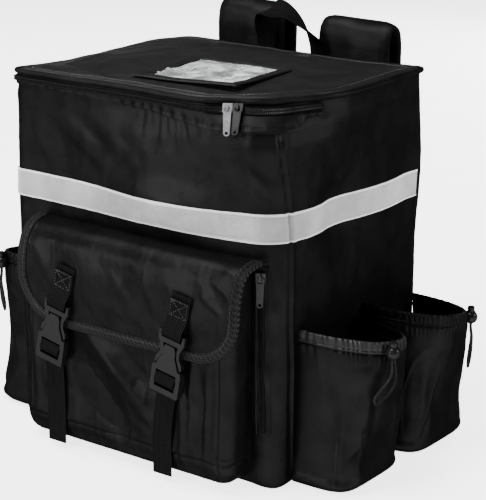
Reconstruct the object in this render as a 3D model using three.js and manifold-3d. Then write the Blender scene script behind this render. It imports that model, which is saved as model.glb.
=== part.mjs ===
// An insulated delivery backpack: a padded box with a zipped lid, a flap pocket with two clips on its
// front, two cup pockets on each side, and a carry handle and shoulder straps on its back.
// Millimetres, +Z up, +X to the right of someone who faces the front, -Y to the front.
// The origin is on the floor, under the middle of the box.
import * as THREE from 'three'
import { mergeVertices } from 'three/addons/utils/BufferGeometryUtils.js'
import Module from 'manifold-3d'

const wasm = await Module()
wasm.setup()

// The padded box
const BODY_WIDTH = 350
const BODY_DEPTH = 270
const BODY_HEIGHT = 399
const PADDED_WALL = 7
const BASE_THICKNESS = 9
const BASE_EDGE = 8
const FRONT_RIGHT_RADIUS = 32
const FRONT_LEFT_RADIUS = 12
const BACK_RIGHT_RADIUS = 10
const BACK_LEFT_RADIUS = 46
const SEAT = 0.3 // clearance of a piece that lies against another
const WRAP_SEAT = 0.6 // clearance of a sheet that is wrapped round the soft wall
const TEETH_SEAT = 1.45 // clearance of a zip's teeth over its tape

// The lid with its piping, handle side at the back
const LID_THICKNESS = 6
const LID_CROWN = 3.5
const LID_SAG = 8
const PIPING_RADIUS = 3
const WINDOW_WIDTH = 130
const WINDOW_DEPTH = 112
const WINDOW_BORDER = 11
const WINDOW_BORDER_LEFT = 20
const WINDOW_X = 24
const WINDOW_Y = -44
const WINDOW_TURN = 4 // degrees
const WINDOW_THICKNESS = 1.2
const WINDOW_CORNER_LIFT = 5
const FILM_THICKNESS = 0.6

// The zips
const ZIP_TAPE_HEIGHT = 18
const ZIP_TAPE_THICKNESS = 1.4
const ZIP_END_Y = -58
const ZIP_TEETH_WIDTH = 6
const ZIP_TEETH_THICKNESS = 1.8
const ZIP_MEETING_X = 129
const SLIDER_LENGTH = 10
const SLIDER_WIDTH = 9.5
const SLIDER_THICKNESS = 2.6
const SLIDER_SPACING = 15
const STAPLE_WIRE = 1.6
const PULL_LENGTH = 31
const PULL_WIDTH = 8.5
const PULL_THICKNESS = 1.5
const SIDE_ZIP_X = 156
const SIDE_ZIP_LOW = 60
const SIDE_ZIP_HIGH = 240
const SIDE_ZIP_WIDTH = 15

// The reflective band
const BAND_LOW = 0.66 // share of the height
const BAND_HIGH = 0.735
const BAND_THICKNESS = 0.9

// The front pocket and its flap
const POCKET_LEFT = -139
const POCKET_RIGHT = 143
const POCKET_DEPTH = 40
const POCKET_LOW = 4
const POCKET_HIGH = 232
const POCKET_CORNER = 16
const CLOTH = 2
const FLAP_LEFT = -135
const FLAP_RIGHT = 158
const FLAP_TOP = 245
const FLAP_LOW = 143
const FLAP_CORNER = 54
const BINDING_WIDTH = 9
const BINDING_THICKNESS = 1

// The two webbing straps of the flap, with their clips
const WEBBING_WIDTH = 25
const WEBBING_THICKNESS = 1.6
const CLIP_WIDTH = 37
const CLIP_LENGTH = 70
const CLIP_PLUG_THICKNESS = 5
const CLIP_SOCKET_THICKNESS = 8
const CLIP_FIT = 0.5
const PATCH_HEIGHT = 33
const STRAP_TAIL_LOW = 7
const FLAP_STRAP_LEFT_X = -66
const FLAP_STRAP_RIGHT_X = 90

// The cup pockets
const CUP_POCKET_WIDTH = 106
const CUP_POCKET_FRONT_Y = -44
const CUP_POCKET_REAR_Y = 75
const FLAT_POCKET_FRONT_Y = -60
const FLAT_POCKET_REAR_Y = 58
const CUP_DEPTH = 88
const CUP_RIM = 161
const REAR_DEPTH = 93
const REAR_RIM = 157
const FLAT_DEPTH = 62
const FLAT_RIM = 174
const RIM_LIFT = 8
const CUP_POCKET_LOW = 3
const CORD_THICKNESS = 3
const LOCK_RADIUS = 7.5
const LOCK_SEAT = 0.5
const LOCK_BUTTON_RADIUS = 4
const LOCK_BUTTON_LENGTH = 9
const LOCK_BUTTON_OUT = 5
const LOCK_BORE_FIT = 0.35

// Handle and shoulder straps
const HANDLE_SPAN = 72
const HANDLE_RISE = 50
const HANDLE_X = -3
const SHOULDER_STRAP_WIDTH = 92
const SHOULDER_STRAP_THICKNESS = 11
const SHOULDER_STRAP_LEFT_X = -67
const SHOULDER_STRAP_RIGHT_X = 75
const SHOULDER_STRAP_DROP = 7 // how much lower the right loop stands
const STRAP_LOOP_OUT = 43
const LOWER_STRAP_END_X = BODY_WIDTH * 0.4
const ADJUSTER_WIDTH = 36
const ADJUSTER_HEIGHT = 28
const ADJUSTER_THICKNESS = 5

const HALF_WIDTH = BODY_WIDTH / 2
const HALF_DEPTH = BODY_DEPTH / 2
const pack = new THREE.Group()

// Finishes
const finish = (color, roughness, metalness) => new THREE.MeshStandardMaterial({ color, roughness, metalness })
const BLACK_CLOTH = finish(0x151517, 0.62, 0)
const LID_CLOTH = finish(0x1c1c1f, 0.6, 0)
const WEBBING = finish(0x0f0f10, 0.8, 0)
const BLACK_PLASTIC = finish(0x1a1a1c, 0.42, 0)
const SILVER_METAL = finish(0xb9bbbe, 0.3, 1)
const REFLECTIVE = finish(0xa9abad, 0.45, 0)
const CLEAR_FILM = finish(0xd9dcdf, 0.2, 0)
const CORD = finish(0x0d0d0e, 0.85, 0)

/** Gives closed faces the outward sense, and adds them to the pack as one named piece. */
function addPiece(name, geometry, material) {
  const points = geometry.getAttribute('position')
  const order = geometry.index.array
  const corner = [new THREE.Vector3(), new THREE.Vector3(), new THREE.Vector3()]
  let volume = 0
  for (let i = 0; i < order.length; i += 3) {
    corner.forEach((c, k) => c.fromBufferAttribute(points, order[i + k]))
    volume += corner[0].dot(corner[1].cross(corner[2]))
  }
  if (volume < 0) {
    for (let i = 0; i < order.length; i += 3) {
      const first = order[i]
      order[i] = order[i + 1]
      order[i + 1] = first
    }
  }
  geometry.computeVertexNormals()
  const mesh = new THREE.Mesh(geometry, material)
  mesh.name = name
  pack.add(mesh)
  return mesh
}

/** Triangles over a closed ring of points that lies nearly in one plane. */
function capTriangles(ring, first) {
  const normal = new THREE.Vector3()
  ring.forEach((p, i) => normal.add(p.clone().cross(ring[(i + 1) % ring.length])))
  const size = normal.toArray().map(Math.abs)
  const away = size.indexOf(Math.max(...size))
  const flat = ring.map((p) => {
    const c = p.toArray()
    return new THREE.Vector2(c[(away + 1) % 3], c[(away + 2) % 3])
  })
  return THREE.ShapeUtils.triangulateShape(flat, []).map((t) => t.map((i) => i + first))
}

/** One closed skin through rings of equal count, with its two ends filled, or joined into a loop. */
function ringSkin(rings, loop = false) {
  const count = rings[0].length
  const triangles = []
  const last = loop ? rings.length : rings.length - 1
  for (let r = 0; r < last; r += 1) {
    const low = r * count
    const high = ((r + 1) % rings.length) * count
    for (let i = 0; i < count; i += 1) {
      const j = (i + 1) % count
      triangles.push([low + i, low + j, high + j], [low + i, high + j, high + i])
    }
  }
  if (!loop) {
    capTriangles(rings[0], 0).forEach((t) => triangles.push([...t].reverse()))
    capTriangles(rings[rings.length - 1], (rings.length - 1) * count).forEach((t) => triangles.push(t))
    orientCaps(triangles, rings)
  }
  return skin(rings, triangles)
}

/** Turns the triangles of the two end caps so that every edge is walked once each way. */
function orientCaps(triangles, rings) {
  const count = rings[0].length
  const walls = (rings.length - 1) * count * 2
  const walked = new Set()
  const key = (a, b) => `${a}_${b}`
  for (const [a, b, c] of triangles.slice(0, walls)) {
    walked.add(key(a, b)).add(key(b, c)).add(key(c, a))
  }
  const caps = triangles.slice(walls)
  const half = caps.length / 2
  for (const cap of [caps.slice(0, half), caps.slice(half)]) {
    const wrong = cap.some(([a, b, c]) => walked.has(key(a, b)) || walked.has(key(b, c)) || walked.has(key(c, a)))
    if (wrong) cap.forEach((t) => t.reverse())
  }
}

/** A sheet between two grids of points, rows by columns, split alike on both faces and closed at its edges. */
function sheet(face, back) {
  const rows = face.length
  const columns = face[0].length
  const behind = rows * columns
  const at = (r, c) => r * columns + c
  const triangles = []
  const walked = []
  for (let r = 0; r < rows - 1; r += 1) {
    for (let c = 0; c < columns - 1; c += 1) {
      const [a, b, opposite, d] = [at(r, c), at(r, c + 1), at(r + 1, c + 1), at(r + 1, c)]
      triangles.push([a, b, opposite], [a, opposite, d])
      triangles.push([behind + a, behind + opposite, behind + b], [behind + a, behind + d, behind + opposite])
    }
  }
  for (let c = 0; c < columns - 1; c += 1) walked.push([at(0, c), at(0, c + 1)])
  for (let r = 0; r < rows - 1; r += 1) walked.push([at(r, columns - 1), at(r + 1, columns - 1)])
  for (let c = columns - 1; c > 0; c -= 1) walked.push([at(rows - 1, c), at(rows - 1, c - 1)])
  for (let r = rows - 1; r > 0; r -= 1) walked.push([at(r, 0), at(r - 1, 0)])
  for (const [p, q] of walked) triangles.push([q, p, behind + p], [q, behind + p, behind + q])
  return skin([...face, ...back], triangles)
}

function skin(rows, triangles) {
  const geometry = new THREE.BufferGeometry()
  const places = rows.flat().flatMap((p) => p.toArray())
  geometry.setAttribute('position', new THREE.Float32BufferAttribute(places, 3))
  geometry.setIndex(triangles.flat())
  return geometry
}

/** A tube or strip: the closed section around each stop of a route. */
function strip(stops, loop = false) {
  return ringSkin(stops.map(({ at, across, out, section }) => section.map(([a, b]) => (
    at.clone().addScaledVector(across, a).addScaledVector(out, b)
  ))), loop)
}

const vec = (x, y, z) => new THREE.Vector3(x, y, z)
const mix = (a, b, t) => a + (b - a) * t
const steps = (from, to, count) => Array.from({ length: count + 1 }, (_, i) => mix(from, to, i / count))
const bump = (t) => (Math.abs(t) < 1 ? Math.cos((Math.PI * t) / 2) ** 2 : 0)

/** Reads a table of rows at one value of its first column, with straight lines between its rows. */
function readTable(rows, column, value) {
  const after = rows.findIndex((row) => row[column] >= value)
  if (after <= 0) return after === 0 ? rows[0] : rows[rows.length - 1]
  const low = rows[after - 1]
  const high = rows[after]
  const t = (value - low[column]) / (high[column] - low[column])
  return Object.fromEntries(Object.keys(low).map((name) => [name, mix(low[name], high[name], t)]))
}

function rectangleSection(width, thickness) {
  const a = width / 2
  const b = thickness / 2
  return [[-a, -b], [a, -b], [a, b], [-a, b]]
}

function roundSection(radius, sides) {
  return steps(0, Math.PI * 2, sides).slice(0, sides).map((t) => [radius * Math.cos(t), radius * Math.sin(t)])
}

// The outline of the box, walked from the middle of the front towards +X
const QUARTER = Math.PI / 2
const RUNS = []
function addLine(x0, y0, x1, y1) {
  RUNS.push({ x0, y0, x1, y1, length: Math.hypot(x1 - x0, y1 - y0) })
}
function addArc(x, y, radius, start) {
  RUNS.push({ x, y, radius, start, length: radius * QUARTER })
}
addLine(0, -HALF_DEPTH, HALF_WIDTH - FRONT_RIGHT_RADIUS, -HALF_DEPTH)
addArc(HALF_WIDTH - FRONT_RIGHT_RADIUS, -HALF_DEPTH + FRONT_RIGHT_RADIUS, FRONT_RIGHT_RADIUS, -QUARTER)
addLine(HALF_WIDTH, -HALF_DEPTH + FRONT_RIGHT_RADIUS, HALF_WIDTH, HALF_DEPTH - BACK_RIGHT_RADIUS)
addArc(HALF_WIDTH - BACK_RIGHT_RADIUS, HALF_DEPTH - BACK_RIGHT_RADIUS, BACK_RIGHT_RADIUS, 0)
addLine(HALF_WIDTH - BACK_RIGHT_RADIUS, HALF_DEPTH, -HALF_WIDTH + BACK_LEFT_RADIUS, HALF_DEPTH)
addArc(-HALF_WIDTH + BACK_LEFT_RADIUS, HALF_DEPTH - BACK_LEFT_RADIUS, BACK_LEFT_RADIUS, QUARTER)
addLine(-HALF_WIDTH, HALF_DEPTH - BACK_LEFT_RADIUS, -HALF_WIDTH, -HALF_DEPTH + FRONT_LEFT_RADIUS)
addArc(-HALF_WIDTH + FRONT_LEFT_RADIUS, -HALF_DEPTH + FRONT_LEFT_RADIUS, FRONT_LEFT_RADIUS, 2 * QUARTER)
addLine(-HALF_WIDTH + FRONT_LEFT_RADIUS, -HALF_DEPTH, 0, -HALF_DEPTH)
let walkedSoFar = 0
for (const run of RUNS) {
  run.begins = walkedSoFar
  walkedSoFar += run.length
}
const PERIMETER = walkedSoFar
const frontAt = (x) => (x >= 0 ? x : PERIMETER + x)
const rightAt = (y) => RUNS[2].begins + y + HALF_DEPTH - FRONT_RIGHT_RADIUS
const leftAt = (y) => RUNS[6].begins + HALF_DEPTH - BACK_LEFT_RADIUS - y
const FRONT_RIGHT_CORNER = RUNS[1].begins + RUNS[1].length / 2
const FRONT_LEFT_CORNER = RUNS[7].begins + RUNS[7].length / 2
const BACK_RIGHT_CORNER = RUNS[3].begins + RUNS[3].length / 2

/** The place and outward direction on the plain outline after a walk of this length. */
function outlineAt(distance) {
  const d = ((distance % PERIMETER) + PERIMETER) % PERIMETER
  const run = [...RUNS].reverse().find((r) => d >= r.begins)
  const t = (d - run.begins) / run.length
  if (run.radius) {
    const angle = run.start + t * QUARTER
    const out = vec(Math.cos(angle), Math.sin(angle), 0)
    return { at: vec(run.x, run.y, 0).addScaledVector(out, run.radius), out }
  }
  const along = vec(run.x1 - run.x0, run.y1 - run.y0, 0).normalize()
  const at = vec(mix(run.x0, run.x1, t), mix(run.y0, run.y1, t), 0)
  return { at, out: vec(along.y, -along.x, 0) }
}

// How the soft walls leave the plain box: middle is a walk along the outline, reach and swell are
// shares of the width, up and spread shares of the height, heading is the way it swells in degrees
// from +X, and a negative swell is a dip
const WALL_FORMS = [
  { middle: FRONT_RIGHT_CORNER, reach: 0.4, up: 1, spread: 0.07, swell: -0.103, heading: -45 },
  { middle: FRONT_RIGHT_CORNER, reach: 0.24, up: 0.85, spread: 0.5, swell: -0.05, heading: -45 },
  { middle: FRONT_RIGHT_CORNER, reach: 0.08, up: 0, spread: 0.3, swell: 0.028, heading: -45 },
  { middle: frontAt(25), reach: 0.34, up: 0.72, spread: 0.105, swell: 0.045, heading: -90 },
  { middle: frontAt(0), reach: 0.32, up: 0.85, spread: 0.13, swell: 0.02, heading: -90 },
  { middle: frontAt(-10), reach: 0.35, up: 1, spread: 0.13, swell: -0.02, heading: -90 },
  { middle: FRONT_LEFT_CORNER, reach: 0.05, up: 0.6, spread: 0.5, swell: 0.012, heading: -150 },
  { middle: rightAt(-27), reach: 0.15, up: 0.7, spread: 0.16, swell: -0.029, heading: 0 },
  { middle: rightAt(60), reach: 0.16, up: 0.7, spread: 0.2, swell: 0.012, heading: 0 },
  { middle: BACK_RIGHT_CORNER, reach: 0.07, up: 0.75, spread: 0.24, swell: 0.014, heading: 30 },
  { middle: leftAt(0), reach: 0.3, up: 0.8, spread: 0.16, swell: 0.01, heading: 180 },
]

function wallForm(distance, height) {
  const moved = vec(0, 0, 0)
  for (const { middle, reach, up, spread, swell, heading } of WALL_FORMS) {
    const direct = Math.abs(distance - middle) % PERIMETER
    const apart = Math.min(direct, PERIMETER - direct)
    const size = swell * BODY_WIDTH * bump(apart / (reach * BODY_WIDTH)) * bump((height / BODY_HEIGHT - up) / spread)
    const angle = THREE.MathUtils.degToRad(heading)
    moved.add(vec(Math.cos(angle) * size, Math.sin(angle) * size, 0))
  }
  return moved
}

// Stops along the outline and heights of the wall that all the wrapped pieces share, dense where it bends
const STOPS_PER_RUN = [5, 5, 10, 3, 6, 4, 6, 3, 6]
const WALL_STOPS = RUNS.flatMap((run, i) => steps(run.begins, run.begins + run.length, STOPS_PER_RUN[i]).slice(0, -1))
const WALL_ROWS = [0, 0.3, 0.54, 0.615, BAND_LOW, BAND_HIGH, 0.79, 0.85, 0.9, 0.955, 1].map((share) => share * BODY_HEIGHT)

const SAG_FROM = WALL_ROWS[WALL_ROWS.length - 3]

/** Where a value lies in a rising list: the places before and after it, and the share between them. */
function bracket(list, value) {
  const after = Math.max(1, list.findIndex((entry) => entry >= value))
  const low = list[after - 1]
  return { before: low, after: list[after], share: (value - low) / (list[after] - low) }
}

/** How far the lid and the rim under it hang below their level, most along the left side. */
function lidSag(x, y) {
  const left = Math.max(0, -x / HALF_WIDTH) ** 2 * (1 - Math.max(0, -y / HALF_DEPTH) ** 2)
  const back = 0.6 * Math.max(0, y / HALF_DEPTH) ** 2 * (1 - Math.max(0, x / HALF_WIDTH) ** 2)
  return LID_SAG * Math.max(0, left, back)
}

/** A point of the soft wall, or one that lies outward of it, on the flat facets between stops and rows. */
function wallPoint(distance, z, outward = 0) {
  const d = ((distance % PERIMETER) + PERIMETER) % PERIMETER
  const column = bracket([...WALL_STOPS, PERIMETER], d)
  const row = bracket(WALL_ROWS, THREE.MathUtils.clamp(z, 0, BODY_HEIGHT))
  const corner = (stop, height) => {
    const { at, out } = outlineAt(stop)
    const sagging = THREE.MathUtils.clamp((height - SAG_FROM) / (BODY_HEIGHT - SAG_FROM), 0, 1)
    const sag = lidSag(at.x, at.y) * sagging
    return at.addScaledVector(out, outward).add(wallForm(stop, height)).setZ(height - sag)
  }
  const low = corner(column.before, row.before)
  const high = corner(column.after, row.after)
  const between = column.share > row.share ? corner(column.after, row.before) : corner(column.before, row.after)
  const [first, second] = column.share > row.share ? [column.share, row.share] : [row.share, column.share]
  const point = low.clone().addScaledVector(between.clone().sub(low), first).addScaledVector(high.sub(between), second)
  point.z += z - THREE.MathUtils.clamp(z, 0, BODY_HEIGHT)
  return point
}

/** A sheet that lies on the wall between two heights. */
function wallSheet(distances, low, high, inner, outer) {
  const rows = [low, ...WALL_ROWS.filter((z) => z > low + 1 && z < high - 1), high]
  const grid = (outward) => distances.map((d) => rows.map((z) => wallPoint(d, z, outward)))
  return sheet(grid(outer), grid(inner))
}

const nearestStop = (distance) => WALL_STOPS.reduce((best, stop) => (
  Math.abs(stop - distance) < Math.abs(best - distance) ? stop : best
))

function stopsBetween(from, to) {
  const end = to < from ? to + PERIMETER : to
  const inside = [...WALL_STOPS, ...WALL_STOPS.map((d) => d + PERIMETER)]
    .filter((d) => d > from + 1 && d < end - 1)
  return [from, ...inside, end]
}

// The padded box, hollow and open at the top, with a rounded foot
const FOOT_ROWS = [
  { up: 0, inset: 1 },
  { up: 0.3, inset: 0.3 },
  { up: 1, inset: 0 },
]
const wallRing = (z, outward) => WALL_STOPS.map((d) => wallPoint(d, z, outward))
const outerRings = [
  ...FOOT_ROWS.map(({ up, inset }) => wallRing(up * BASE_EDGE, -inset * BASE_EDGE)),
  ...WALL_ROWS.slice(1).map((z) => wallRing(z, 0)),
]
const innerHeights = [...WALL_ROWS].reverse().filter((z, i) => i % 2 === 0 && z > BODY_HEIGHT / 2)
const innerRings = [...innerHeights, BASE_THICKNESS].map((z) => wallRing(z, -PADDED_WALL))
addPiece('body_shell', ringSkin([...outerRings, ...innerRings]), BLACK_CLOTH)

// The lid: a padded panel with a low crown
const LID_BASE = BODY_HEIGHT + SEAT
const PANEL_INSET = PIPING_RADIUS / 2 + SEAT
function lidHeight(x, y) {
  const across = 1 - Math.min(1, Math.abs(x / HALF_WIDTH)) ** 2.5
  const along = 1 - Math.min(1, Math.abs(y / HALF_DEPTH)) ** 2.5
  return LID_BASE + LID_THICKNESS + LID_CROWN * across * along - lidSag(x, y)
}
function lidRing(share) {
  return WALL_STOPS.map((d) => {
    const edge = wallPoint(d, BODY_HEIGHT, -PANEL_INSET)
    const x = edge.x * share
    const y = edge.y * share
    return vec(x, y, lidHeight(x, y))
  })
}
const lidEdgeRing = (inset, lift) => WALL_STOPS.map((d) => wallPoint(d, LID_BASE + lift, -inset))
addPiece('lid_panel', ringSkin([
  lidEdgeRing(PADDED_WALL + 1, 0),
  lidEdgeRing(PANEL_INSET, 0),
  lidEdgeRing(PANEL_INSET, LID_THICKNESS * 0.7),
  ...[0.985, 0.9, 0.68, 0.36].map(lidRing),
]), LID_CLOTH)

const PIPING_OUT = PIPING_RADIUS / 2 + SEAT
addPiece('lid_piping', strip(WALL_STOPS.map((d) => ({
  at: wallPoint(d, LID_BASE + PIPING_RADIUS, PIPING_OUT),
  across: outlineAt(d).out,
  out: vec(0, 0, 1),
  section: roundSection(PIPING_RADIUS, 6),
})), true), BLACK_CLOTH)

// The document window on the lid: a cloth frame around a clear film
const WINDOW_GAP = 0.5
const windowTurn = THREE.MathUtils.degToRad(WINDOW_TURN)
/** A point of the window, from its own middle, lying on the lid with its front right corner raised. */
function windowPoint(across, back, lift) {
  const x = WINDOW_X + across * Math.cos(windowTurn) - back * Math.sin(windowTurn)
  const y = WINDOW_Y + across * Math.sin(windowTurn) + back * Math.cos(windowTurn)
  const forward = THREE.MathUtils.clamp(0.5 - back / WINDOW_DEPTH, 0, 1)
  const right = THREE.MathUtils.clamp(0.5 + across / WINDOW_WIDTH, 0, 1)
  return vec(x, y, lidHeight(x, y) + WINDOW_GAP + WINDOW_CORNER_LIFT * forward ** 2 * right ** 2 + lift)
}
function windowRing(left, right, halfDepth, lift) {
  const corners = [[left, -halfDepth], [right, -halfDepth], [right, halfDepth], [left, halfDepth]]
  return corners.flatMap(([x0, y0], i) => {
    const [x1, y1] = corners[(i + 1) % 4]
    return steps(0, 1, 4).slice(0, 4).map((t) => windowPoint(mix(x0, x1, t), mix(y0, y1, t), lift))
  })
}
const openLeft = -WINDOW_WIDTH / 2 + WINDOW_BORDER_LEFT
const openRight = WINDOW_WIDTH / 2 - WINDOW_BORDER
const openDepth = WINDOW_DEPTH / 2 - WINDOW_BORDER
addPiece('window_frame', ringSkin([
  windowRing(-WINDOW_WIDTH / 2, WINDOW_WIDTH / 2, WINDOW_DEPTH / 2, 0),
  windowRing(-WINDOW_WIDTH / 2, WINDOW_WIDTH / 2, WINDOW_DEPTH / 2, WINDOW_THICKNESS),
  windowRing(openLeft, openRight, openDepth, WINDOW_THICKNESS),
  windowRing(openLeft, openRight, openDepth, 0),
], true), BLACK_CLOTH)
const filmGrid = (lift) => steps(-openDepth + SEAT, openDepth - SEAT, 4).map((back) => (
  steps(openLeft + SEAT, openRight - SEAT, 4).map((across) => windowPoint(across, back, lift))
))
addPiece('window_film', sheet(filmGrid(FILM_THICKNESS), filmGrid(0)), CLEAR_FILM)

// The lid's zip, from the back of the left side round the front to just past the right corner
const ZIP_HIGH = BODY_HEIGHT - SEAT
const ZIP_MIDDLE = ZIP_HIGH - 4.5
const zipStops = stopsBetween(leftAt(HALF_DEPTH - BACK_LEFT_RADIUS - 8), nearestStop(rightAt(ZIP_END_Y)))
// across is a share of the width from the middle of the front, deep a share of the tape's height
const ZIP_DEPTHS = [
  { across: -0.5, deep: 0.62 },
  { across: -0.22, deep: 0.72 },
  { across: 0.04, deep: 0.9 },
  { across: 0.26, deep: 1.4 },
  { across: 0.4, deep: 1.35 },
  { across: 0.5, deep: 1.3 },
]
const zipLowAt = (d) => ZIP_HIGH - ZIP_TAPE_HEIGHT * readTable(ZIP_DEPTHS, 'across', outlineAt(d).at.x / BODY_WIDTH).deep
const TAPE_OUT = WRAP_SEAT + ZIP_TAPE_THICKNESS
const tapeGrid = (outward) => zipStops.map((d) => {
  const low = zipLowAt(d)
  const fold = Math.max(low + 2, WALL_ROWS[WALL_ROWS.length - 2])
  return [low, fold, ZIP_HIGH].map((z) => wallPoint(d, z, outward))
})
addPiece('zip_tape', sheet(tapeGrid(TAPE_OUT), tapeGrid(WRAP_SEAT)), BLACK_CLOTH)
addPiece('zip_teeth', wallSheet(zipStops, ZIP_MIDDLE - ZIP_TEETH_WIDTH / 2, ZIP_MIDDLE + ZIP_TEETH_WIDTH / 2,
  TAPE_OUT + TEETH_SEAT, TAPE_OUT + TEETH_SEAT + ZIP_TEETH_THICKNESS), BLACK_PLASTIC)

// A slider is a plate with a wire staple on it, and its pull hangs on the staple by a square eye
function toSolid(geometry) {
  geometry.deleteAttribute('normal')
  geometry.deleteAttribute('uv')
  const merged = mergeVertices(geometry, 1e-4)
  return new wasm.Manifold(new wasm.Mesh({
    numProp: 3,
    vertProperties: merged.getAttribute('position').array,
    triVerts: Uint32Array.from(merged.index.array),
  }))
}
function fromSolid(solid) {
  const { numProp, vertProperties, triVerts } = solid.getMesh()
  const places = []
  for (let i = 0; i < vertProperties.length; i += numProp) {
    places.push(vertProperties[i], vertProperties[i + 1], vertProperties[i + 2])
  }
  const geometry = new THREE.BufferGeometry()
  geometry.setAttribute('position', new THREE.Float32BufferAttribute(places, 3))
  geometry.setIndex([...triVerts])
  return geometry
}
function plate(outline, holes, thickness) {
  const shape = new THREE.Shape(outline.map(([x, y]) => new THREE.Vector2(x, y)))
  shape.holes = holes.map((hole) => new THREE.Path(hole.map(([x, y]) => new THREE.Vector2(x, y))))
  const geometry = new THREE.ExtrudeGeometry(shape, { depth: thickness, bevelEnabled: false })
  geometry.deleteAttribute('normal')
  geometry.deleteAttribute('uv')
  return mergeVertices(geometry, 1e-4)
}
const rectangle = (x0, y0, x1, y1) => [[x0, y0], [x1, y0], [x1, y1], [x0, y1]]
const circle = (x, y, radius, sides) => roundSection(radius, sides).map(([a, b]) => [x + a, y + b])

// In a slider's own frame +X runs along the wall, +Y is up and +Z is out of the wall
const EYE_BAR = 1.5
const EYE_HEIGHT = 6
const STAPLE_REACH = 3.4
const PULL_GAP = 0.5
const STAPLE_ROOM = EYE_BAR + 2 * PULL_GAP
function sliderGeometry() {
  const body = toSolid(plate(rectangle(-SLIDER_LENGTH / 2, -SLIDER_WIDTH / 2, SLIDER_LENGTH / 2, SLIDER_WIDTH / 2),
    [], SLIDER_THICKNESS))
  const high = SLIDER_THICKNESS + STAPLE_ROOM + STAPLE_WIRE
  const arch = plate(
    rectangle(-STAPLE_REACH, SLIDER_THICKNESS - 1, STAPLE_REACH, high),
    [rectangle(-STAPLE_REACH + STAPLE_WIRE, SLIDER_THICKNESS - 0.5, STAPLE_REACH - STAPLE_WIRE, high - STAPLE_WIRE)],
    STAPLE_WIRE,
  )
  arch.rotateX(QUARTER)
  arch.rotateZ(QUARTER)
  arch.translate(-STAPLE_WIRE / 2, 0, 0)
  return fromSolid(body.add(toSolid(arch)))
}
function pullGeometry() {
  const half = PULL_WIDTH / 2
  const tip = half - 1
  const outline = [
    [-half + 1.5, EYE_BAR / 2], [half - 1.5, EYE_BAR / 2], [half, -EYE_BAR],
    ...steps(0, -Math.PI, 6).map((t) => [tip * Math.cos(t), -PULL_LENGTH + tip + tip * Math.sin(t)]),
    [-half, -EYE_BAR],
  ]
  const eye = rectangle(-half + EYE_BAR, -EYE_BAR / 2 - EYE_HEIGHT + EYE_BAR, half - EYE_BAR, -EYE_BAR / 2)
  const hole = circle(0, -PULL_LENGTH + tip, 1.8, 8)
  return plate(outline.reverse(), [eye, hole], PULL_THICKNESS)
}
/** Turns a piece made in a slider's frame to its place on the wall, which leans. */
function placeOnWall(geometry, distance, z, outward, raised) {
  const along = wallPoint(distance + 5, z).sub(wallPoint(distance - 5, z)).setZ(0).normalize()
  const lean = wallPoint(distance, z + 2).sub(wallPoint(distance, z - PULL_LENGTH))
  const up = lean.addScaledVector(along, -lean.dot(along)).normalize()
  const out = along.clone().cross(up)
  const frame = new THREE.Matrix4().makeBasis(along, up, out)
  frame.setPosition(wallPoint(distance, z, outward).addScaledVector(out, raised))
  return geometry.applyMatrix4(frame)
}
const SLIDER_OUT = TAPE_OUT + TEETH_SEAT + ZIP_TEETH_THICKNESS
function addSlider(name, distance, z, metal, raised) {
  const pullRaised = raised + SLIDER_THICKNESS + PULL_GAP
  addPiece(`${name}_slider`, placeOnWall(sliderGeometry(), distance, z, SLIDER_OUT, raised), metal)
  addPiece(`${name}_pull`, placeOnWall(pullGeometry(), distance, z, SLIDER_OUT, pullRaised), metal)
}
const meeting = frontAt(ZIP_MEETING_X)
const SLIDER_Z = ZIP_MIDDLE + 1
addSlider('zip_left', meeting - SLIDER_SPACING / 2, SLIDER_Z, SILVER_METAL, 2)
addSlider('zip_right', meeting + SLIDER_SPACING / 2, SLIDER_Z, BLACK_PLASTIC, 2)

// The upright zip beside the front pocket
const sideZipMiddle = frontAt(SIDE_ZIP_X)
const sideZipEdges = stopsBetween(sideZipMiddle - SIDE_ZIP_WIDTH / 2, sideZipMiddle + SIDE_ZIP_WIDTH / 2)
addPiece('side_zip_tape', wallSheet(sideZipEdges, SIDE_ZIP_LOW, SIDE_ZIP_HIGH, WRAP_SEAT, TAPE_OUT), BLACK_CLOTH)
const teethEdges = stopsBetween(sideZipMiddle - ZIP_TEETH_WIDTH / 2, sideZipMiddle + ZIP_TEETH_WIDTH / 2)
const sideTeethOut = TAPE_OUT + TEETH_SEAT
addPiece('side_zip_teeth', wallSheet(teethEdges, SIDE_ZIP_LOW + 4, SIDE_ZIP_HIGH - 4, sideTeethOut,
  sideTeethOut + ZIP_TEETH_THICKNESS), BLACK_PLASTIC)
addSlider('side_zip', sideZipMiddle, SIDE_ZIP_HIGH - SLIDER_WIDTH, SILVER_METAL, 0.8)

// The reflective band runs over the front and both sides, from back seam to back seam
const bandStops = stopsBetween(leftAt(HALF_DEPTH - BACK_LEFT_RADIUS - 4), rightAt(HALF_DEPTH - BACK_RIGHT_RADIUS - 4))
addPiece('reflective_band', wallSheet(bandStops, BAND_LOW * BODY_HEIGHT, BAND_HIGH * BODY_HEIGHT, WRAP_SEAT,
  WRAP_SEAT + BAND_THICKNESS), REFLECTIVE)

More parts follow.
